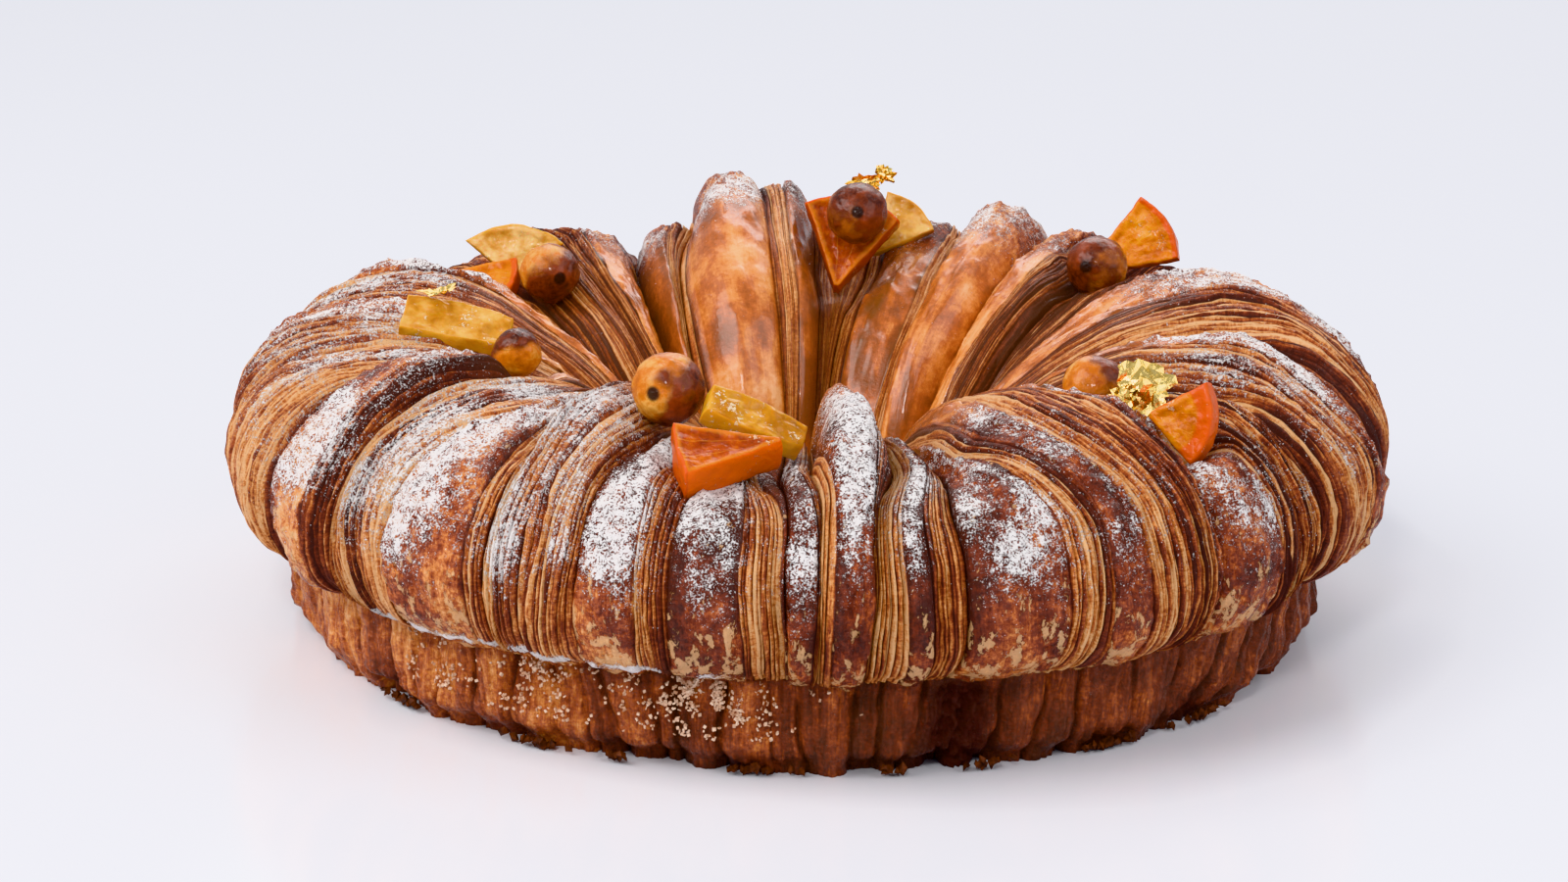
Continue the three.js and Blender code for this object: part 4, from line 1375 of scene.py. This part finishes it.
def groove_shade_crumb_nodes(tree):
    where = object_space(tree)
    # painted shade: the dough inside is coloured dark brown, as the shade deep in the grooves
    colour = ramp(grain(where, 300.0, 4.0), (0.3, (0.08, 0.022, 0.008)), (0.7, (0.24, 0.08, 0.024)))
    return {"Base Color": colour, "Normal": bump(grain(where, 900.0), 0.0004)}


CRUMB = material_of("Dough in the grooves, dark as painted shade", groove_shade_crumb_nodes, Roughness=0.7)
print("crust materials:", CRUST.name, "and", CRUMB.name)

# %% [markdown]
# ## Fruit, nuts, gold and sugar
#
# Candied fruit is soaked in syrup, so light goes in and comes out again:
# subsurface scattering with a thin hard coat. The nuts have a matt golden skin
# under dark glossy caramel. Gold leaf is plain metal, and the sugars differ only
# in how clear they are.

# %% Materials of the toppings
WHITE_SUGAR_ON_ORANGE, WHITE_SUGAR_ON_CITRON = (0.88, 0.70, 0.50, 1), (0.86, 0.78, 0.56, 1)


def frosting(tree, where, strength):
    """Sugar that crystallised on the fruit: white specks in patches."""
    speck, patch = grain(where, 1500.0, 2.0, 0.7), grain(where, 230.0, 2.0)
    amount = speck + (patch - 0.5) * 1.2 + attribute(tree, "frost") * 0.16
    return between(amount, 0.78, 0.86, 0.0, strength)


def orange_nodes(tree):
    where = object_space(tree)
    peel, ray, rim, dark = (attribute(tree, key) for key in ("peel", "ray", "rim", "dark"))
    fibre, cloud = grain(where, 480.0, 4.0, 0.65), grain(where, 160.0, 3.0)
    mixed = fibre * 0.5 + cloud * 0.5
    pale = ramp(mixed, (0.36, (0.52, 0.120, 0.001)), (0.50, (0.70, 0.220, 0.003)),
                (0.64, (0.86, 0.38, 0.020)))
    deep = ramp(mixed, (0.34, (0.16, 0.018, 0.001)), (0.50, (0.36, 0.052, 0.002)),
                (0.66, (0.62, 0.150, 0.006)))
    flesh = blend(dark, pale, deep)
    wall = ray.math("ABSOLUTE", ray.math("FRACT", ray) - 0.5)
    flesh = blend(between(wall, 0.46, 0.50, 0.0, 0.35), flesh, (0.86, 0.40, 0.08, 1))
    flesh = blend(between(rim, 1.6, 0.7, 0.0, 0.5), flesh, (0.78, 0.27, 0.020, 1))
    edge = blend(between(dark, 1.0, 1.5), (0.74, 0.128, 0.002, 1), (0.36, 0.050, 0.004, 1))
    flesh = blend(between(rim, 0.40, 0.22), flesh, edge)
    colour = blend(between(peel, 0.8, 1.1), (0.62, 0.095, 0.004, 1), flesh)
    frost = frosting(tree, where, 0.55)
    return {"Base Color": blend(frost, colour, WHITE_SUGAR_ON_ORANGE),
            "Normal": bump(fibre + cloud + frost, 0.0008, 0.7)}


def citron_nodes(tree):
    where = object_space(tree)
    peel, rim, dark = (attribute(tree, key) for key in ("peel", "rim", "dark"))
    fibre, cloud = grain(where, 420.0, 4.0, 0.6), grain(where, 140.0, 3.0)
    mixed = fibre * 0.4 + cloud * 0.6
    pale = ramp(mixed, (0.36, (0.50, 0.210, 0.025)), (0.50, (0.70, 0.400, 0.110)),
                (0.62, (0.88, 0.64, 0.280)))
    deep = ramp(mixed, (0.34, (0.30, 0.095, 0.001)), (0.50, (0.48, 0.180, 0.003)),
                (0.66, (0.68, 0.34, 0.014)))
    colour = blend(dark, pale, deep)
    colour = blend(between(peel, 1.0, 0.5, 0.0, 0.6), colour, (0.56, 0.27, 0.020, 1))
    colour = blend(between(rim, 0.42, 0.20, 0.0, 0.7), colour, (0.76, 0.40, 0.050, 1))
    frost = frosting(tree, where, 0.75)
    return {"Base Color": blend(frost, colour, WHITE_SUGAR_ON_CITRON),
            "Normal": bump(fibre + frost, 0.0007, 0.6)}


def nut_nodes(tree):
    where, coat, eye = object_space(tree), attribute(tree, "coat"), attribute(tree, "eye")
    streak, cloud = grain(where, 620.0, 5.0, 0.7), grain(where, 150.0, 4.0, 0.6)
    mixed = streak * 0.4 + cloud * 0.6
    skin = ramp(mixed, (0.36, (0.36, 0.075, 0.006)), (0.50, (0.60, 0.175, 0.014)),
                (0.62, (0.80, 0.42, 0.110)))
    dark = ramp(mixed, (0.40, (0.050, 0.008, 0.003)), (0.66, (0.30, 0.055, 0.014)))
    caramel = between(coat + (mixed - 0.5) * 2.2, -0.15, 0.45)
    colour = blend(eye * 0.97, blend(caramel, skin, dark), (0.020, 0.006, 0.003, 1))
    return {"Base Color": colour, "Normal": bump(streak + caramel * 0.6, 0.0006, 0.6)}


def gold_nodes(tree):
    where = object_space(tree)
    colour = ramp(grain(where, 500.0), (0.3, (0.90, 0.58, 0.13)), (0.7, (1.0, 0.80, 0.33)))
    return {"Base Color": colour, "Normal": bump(grain(where, 700.0), 0.0004, 0.6)}


def speckled(dark, light, scale):
    def nodes(tree):
        return {"Base Color": ramp(grain(object_space(tree), scale), (0.35, dark), (0.65, light))}
    return nodes


CANDIED = dict(Subsurface_Weight=0.3, Subsurface_Scale=0.002, Specular_IOR_Level=0.28,
               Coat_Weight=0.12, Coat_Roughness=0.08)
ORANGE = material_of("Candied orange", orange_nodes, Roughness=0.26, **CANDIED)
CITRON = material_of("Candied citron", citron_nodes, Roughness=0.18, **CANDIED)
NUT = material_of("Caramelised hazelnut", nut_nodes, Roughness=0.17, Specular_IOR_Level=0.30,
                  Coat_Weight=0.25, Coat_Roughness=0.06)
GOLD = material_of("Gold leaf", gold_nodes, Metallic=1.0, Roughness=0.20)
ICING = material_of("Icing sugar", speckled((0.78, 0.77, 0.78), (0.90, 0.89, 0.90), 900.0),
                    Roughness=0.6)
CRYSTAL = material_of("Sugar crystals", speckled((0.50, 0.26, 0.15), (0.84, 0.64, 0.48), 700.0),
                      Roughness=0.3)
CARAMEL = material_of("Dark caramel", speckled((0.030, 0.008, 0.003), (0.14, 0.036, 0.010), 500.0),
                      Roughness=0.5, Specular_IOR_Level=0.2)
for name, piece in fruit.items():
    piece.data.materials.append(ORANGE if name.startswith("orange") else CITRON)
for piece in nuts.values():
    piece.data.materials.append(NUT)
gold.data.materials.append(GOLD)
core.data.materials.append(CRUMB)
for piece in folds + [band]:
    piece.data.materials.append(CRUST)
print("materials:", len(bpy.data.materials))

# %% [markdown]
# ## Sugar, flour and crumbs
#
# Icing sugar is strewn over the same surface as the folds' skins, with the dust
# attribute as its thickness. That takes in the flour along the lowest lip at the
# front left. Coarse crystals stick to the band below it, and dark crumbs of
# caramel have run out at the foot.

# %% Carriers for the grains
def grid_faces(lines, rows, start=0):
    return patch_faces(np.arange(lines * rows).reshape(lines, rows) + start)


def icing_carrier():
    points, faces, amounts, count = [], [], [], 0
    for index in range(len(FOLDS)):
        grid, fields = fold_surface(index)
        grid, dust = grid[::2, ::2], fields["dust"][::2, ::2]
        points.append(grid.reshape(-1, 3))
        amounts.append(dust.reshape(-1) ** 1.3)
        faces.append(grid_faces(*dust.shape, count))
        count += dust.size
    return to_metres(np.vstack(points)), np.vstack(faces), np.concatenate(amounts)


def strewn_total(points, faces, amount):
    """The sum of area times amount, in square metres, which sets how many grains come out."""
    a, b, c, d = (points[faces[:, i]] for i in range(4))
    area = np.linalg.norm(np.cross(c - a, d - b), axis=1) / 2
    return float((area * amount[faces].mean(axis=1)).sum())


def round_carrier(az_range, profile, amount, lines=500):
    """A strip round the axis, from rows of (r, z) and the amount by azimuth and share of rows."""
    az = np.linspace(*az_range, lines)[:, None]
    share = np.linspace(0, 1, len(profile))[None, :]
    r, z = np.array(profile).T
    points = to_metres(round_axis(r, np.radians(az), z).reshape(-1, 3))
    return points, grid_faces(lines, len(profile)), np.clip(amount(az, share), 0, 1).reshape(-1)


def strew(name, place, grain_piece, target, sizes, seed, paint):
    """About as many grains as the target, over the points, faces and amounts of a place."""
    points, faces, amount = place
    per_area = target / strewn_total(points, faces, amount)
    carrier = make_object("carrier", points, [faces], {"amount": amount})
    return scatter(name, carrier, grain_piece, per_area, sizes, seed, paint)


# %% Strew the sugar and the crumbs
CRUMB_PLACES = ((222, 2), (241, 2.5), (250, 1.5), (266, 3), (279, 1.5), (290, 2), (304, 2),
                (318, 3), (60, 4), (120, 3), (175, 3))
WALL_ROWS = [(108.9, z) for z in (20, 17, 14, 11, 8)]
FOOT_ROWS = [(106.8, 2.6), (106.0, 1.4), (104.5, 0.9)]


def crumb_amount(az, share):
    clumps = sum(bell(az, at, width) for at, width in CRUMB_PLACES)
    return clumps * (0.2 + 1.0 * noise(73, az / 0.7, share * 3))


ICING_GRAINS, CRUMBS = 13000, 260
on_wall = round_carrier((220, 276), WALL_ROWS, crystal_amount)
at_foot = round_carrier((0, 360), FOOT_ROWS, crumb_amount, 900)
icing = strew("icing_sugar", icing_carrier(), grain_object("grain", 0.30, False), ICING_GRAINS,
              (0.5, 1.1), 3, ICING)
crystals = strew("sugar_crystals", on_wall, grain_object("crystal", 0.7, True),
                 ICING_GRAINS / 18, (0.25, 1.1), 7, CRYSTAL)
crumbs = strew("caramel_crumbs", at_foot, grain_object("crumb", 2.4, False), CRUMBS,
               (0.3, 1.1), 9, CARAMEL)

# %% [markdown]
# ## Tie every piece to the measured model
#
# Each piece rides on the cake's one body. The folds, the band and the crumb inside together stand for the
# loaf, and the fruit and the nuts for their measured pieces, whose nodes are hidden.

# %% Ride on the body and hide the measured nodes
for piece in folds + [band, core]:
    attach(piece, root)
    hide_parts("brioche_ring")
for name, piece in fruit.items():
    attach(piece, root)
    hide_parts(name)
for name, piece in nuts.items():
    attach(piece, root)
    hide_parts(name)
for piece in (gold, icing, crystals, crumbs):
    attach(piece, root)

# %% [markdown]
# ## Floor and light
#
# The cake stands on a glossy white table in a bright room. A large soft lamp
# from the upper left draws the highlights on the skin, a weaker one fills from
# the right, a small one in front gives the caramel and the fruit a sharp glint, and
# one from behind lifts the tops of the folds. The world itself is almost white,
# which keeps the shadows open.

# %% Floor
def floor_nodes(tree):
    where = object_space(tree)
    colour = ramp(grain(where, 1.5), (0.3, (0.81, 0.82, 0.87)), (0.7, (0.84, 0.845, 0.90)))
    return {"Base Color": colour, "Normal": bump(grain(where, 30.0), 0.00002, 0.2)}


TABLE = material_of("White table", floor_nodes, Roughness=0.16, Specular_IOR_Level=0.5)
edge_points = [(-6, -6, 0), (6, -6, 0), (6, 6, 0), (-6, 6, 0)]
floor = make_object("floor", edge_points, [np.array([[0, 1, 2, 3]])], smooth=False)
floor.data.materials.append(TABLE)
floor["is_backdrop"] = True


# %% Lamps and world
bpy.context.scene.view_settings.view_transform = "Khronos PBR Neutral"
LAMP_TARGET = Vector((0, 0, 0.03))


def soft_lamp(name, place, size, power, colour):
    lamp = bpy.data.lights.new(name, "AREA")
    lamp.shape, lamp.size, lamp.size_y = "RECTANGLE", size[0], size[1]
    lamp.energy, lamp.color = power, colour
    made = put_in_scene(name, lamp)
    made.location = place
    made.rotation_mode = "QUATERNION"
    made.rotation_quaternion = (LAMP_TARGET - Vector(place)).to_track_quat("-Z", "Y")


soft_lamp("key", (-0.95, -0.45, 1.05), (1.2, 1.0), 20.0, (1.0, 0.98, 0.97))
soft_lamp("fill", (1.10, -0.55, 0.85), (1.1, 1.1), 9.0, (0.97, 0.98, 1.0))
soft_lamp("front", (-0.15, -1.05, 0.75), (0.17, 0.15), 4.0, (1.0, 0.99, 0.98))
soft_lamp("back", (0.25, 1.25, 1.05), (1.4, 0.7), 13.0, (1.0, 1.0, 1.0))
world = bpy.data.worlds.new("bright room")
bpy.context.scene.world = world
world.use_nodes = True
sky = world.node_tree.nodes["Background"].inputs
sky["Color"].default_value, sky["Strength"].default_value = (0.93, 0.94, 1.0, 1), 0.50
print("lamps:", len(bpy.data.lights))

# %% [markdown]
# ## Camera
#
# The camera stands low in front, far enough away that the ring keeps its shape,
# with a longish lens. It is rolled by about one degree and looks a touch to the
# left of the ring's axis.

# %% Set up the camera
DISTANCE, AIM_HEIGHT = 0.800, 0.035
ELEVATION, ROLL, TURN_LEFT = (math.radians(a) for a in (16.3, 1.1, 0.34))
LENS, SENSOR = 86.74, 36.0


def set_camera():
    camera = bpy.data.cameras.new("camera")
    camera.lens, camera.sensor_width = LENS, SENSOR
    camera.clip_start, camera.clip_end = 0.05, 50
    made = put_in_scene("camera", camera)
    aim = Vector((AXIS[0] * MM, AXIS[1] * MM, AIM_HEIGHT))
    ahead = Vector((0, math.cos(ELEVATION), -math.sin(ELEVATION)))
    right, up = Vector((1, 0, 0)), Vector((0, math.sin(ELEVATION), math.cos(ELEVATION)))
    across = right * math.cos(ROLL) + up * math.sin(ROLL)
    view = (ahead - across * math.tan(TURN_LEFT)).normalized()
    across = (across - view * across.dot(view)).normalized()
    turn = Matrix((across, across.cross(view), -view)).transposed()
    made.matrix_world = Matrix.Translation(aim - ahead * DISTANCE) @ turn.to_4x4()
    bpy.context.scene.camera = made
    return made


camera = set_camera()
print("camera at", [round(c, 3) for c in camera.matrix_world.translation])

# %% Measure and print the sizes, and finish
end_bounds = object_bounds()
sizes = {"cad": [list(corner) for corner in start_bounds], "visual": [list(corner) for corner in end_bounds]}
print("size before:", [round(b - a, 4) for a, b in zip(*sizes["cad"])])
print("size after: ", [round(b - a, 4) for a, b in zip(*sizes["visual"])])
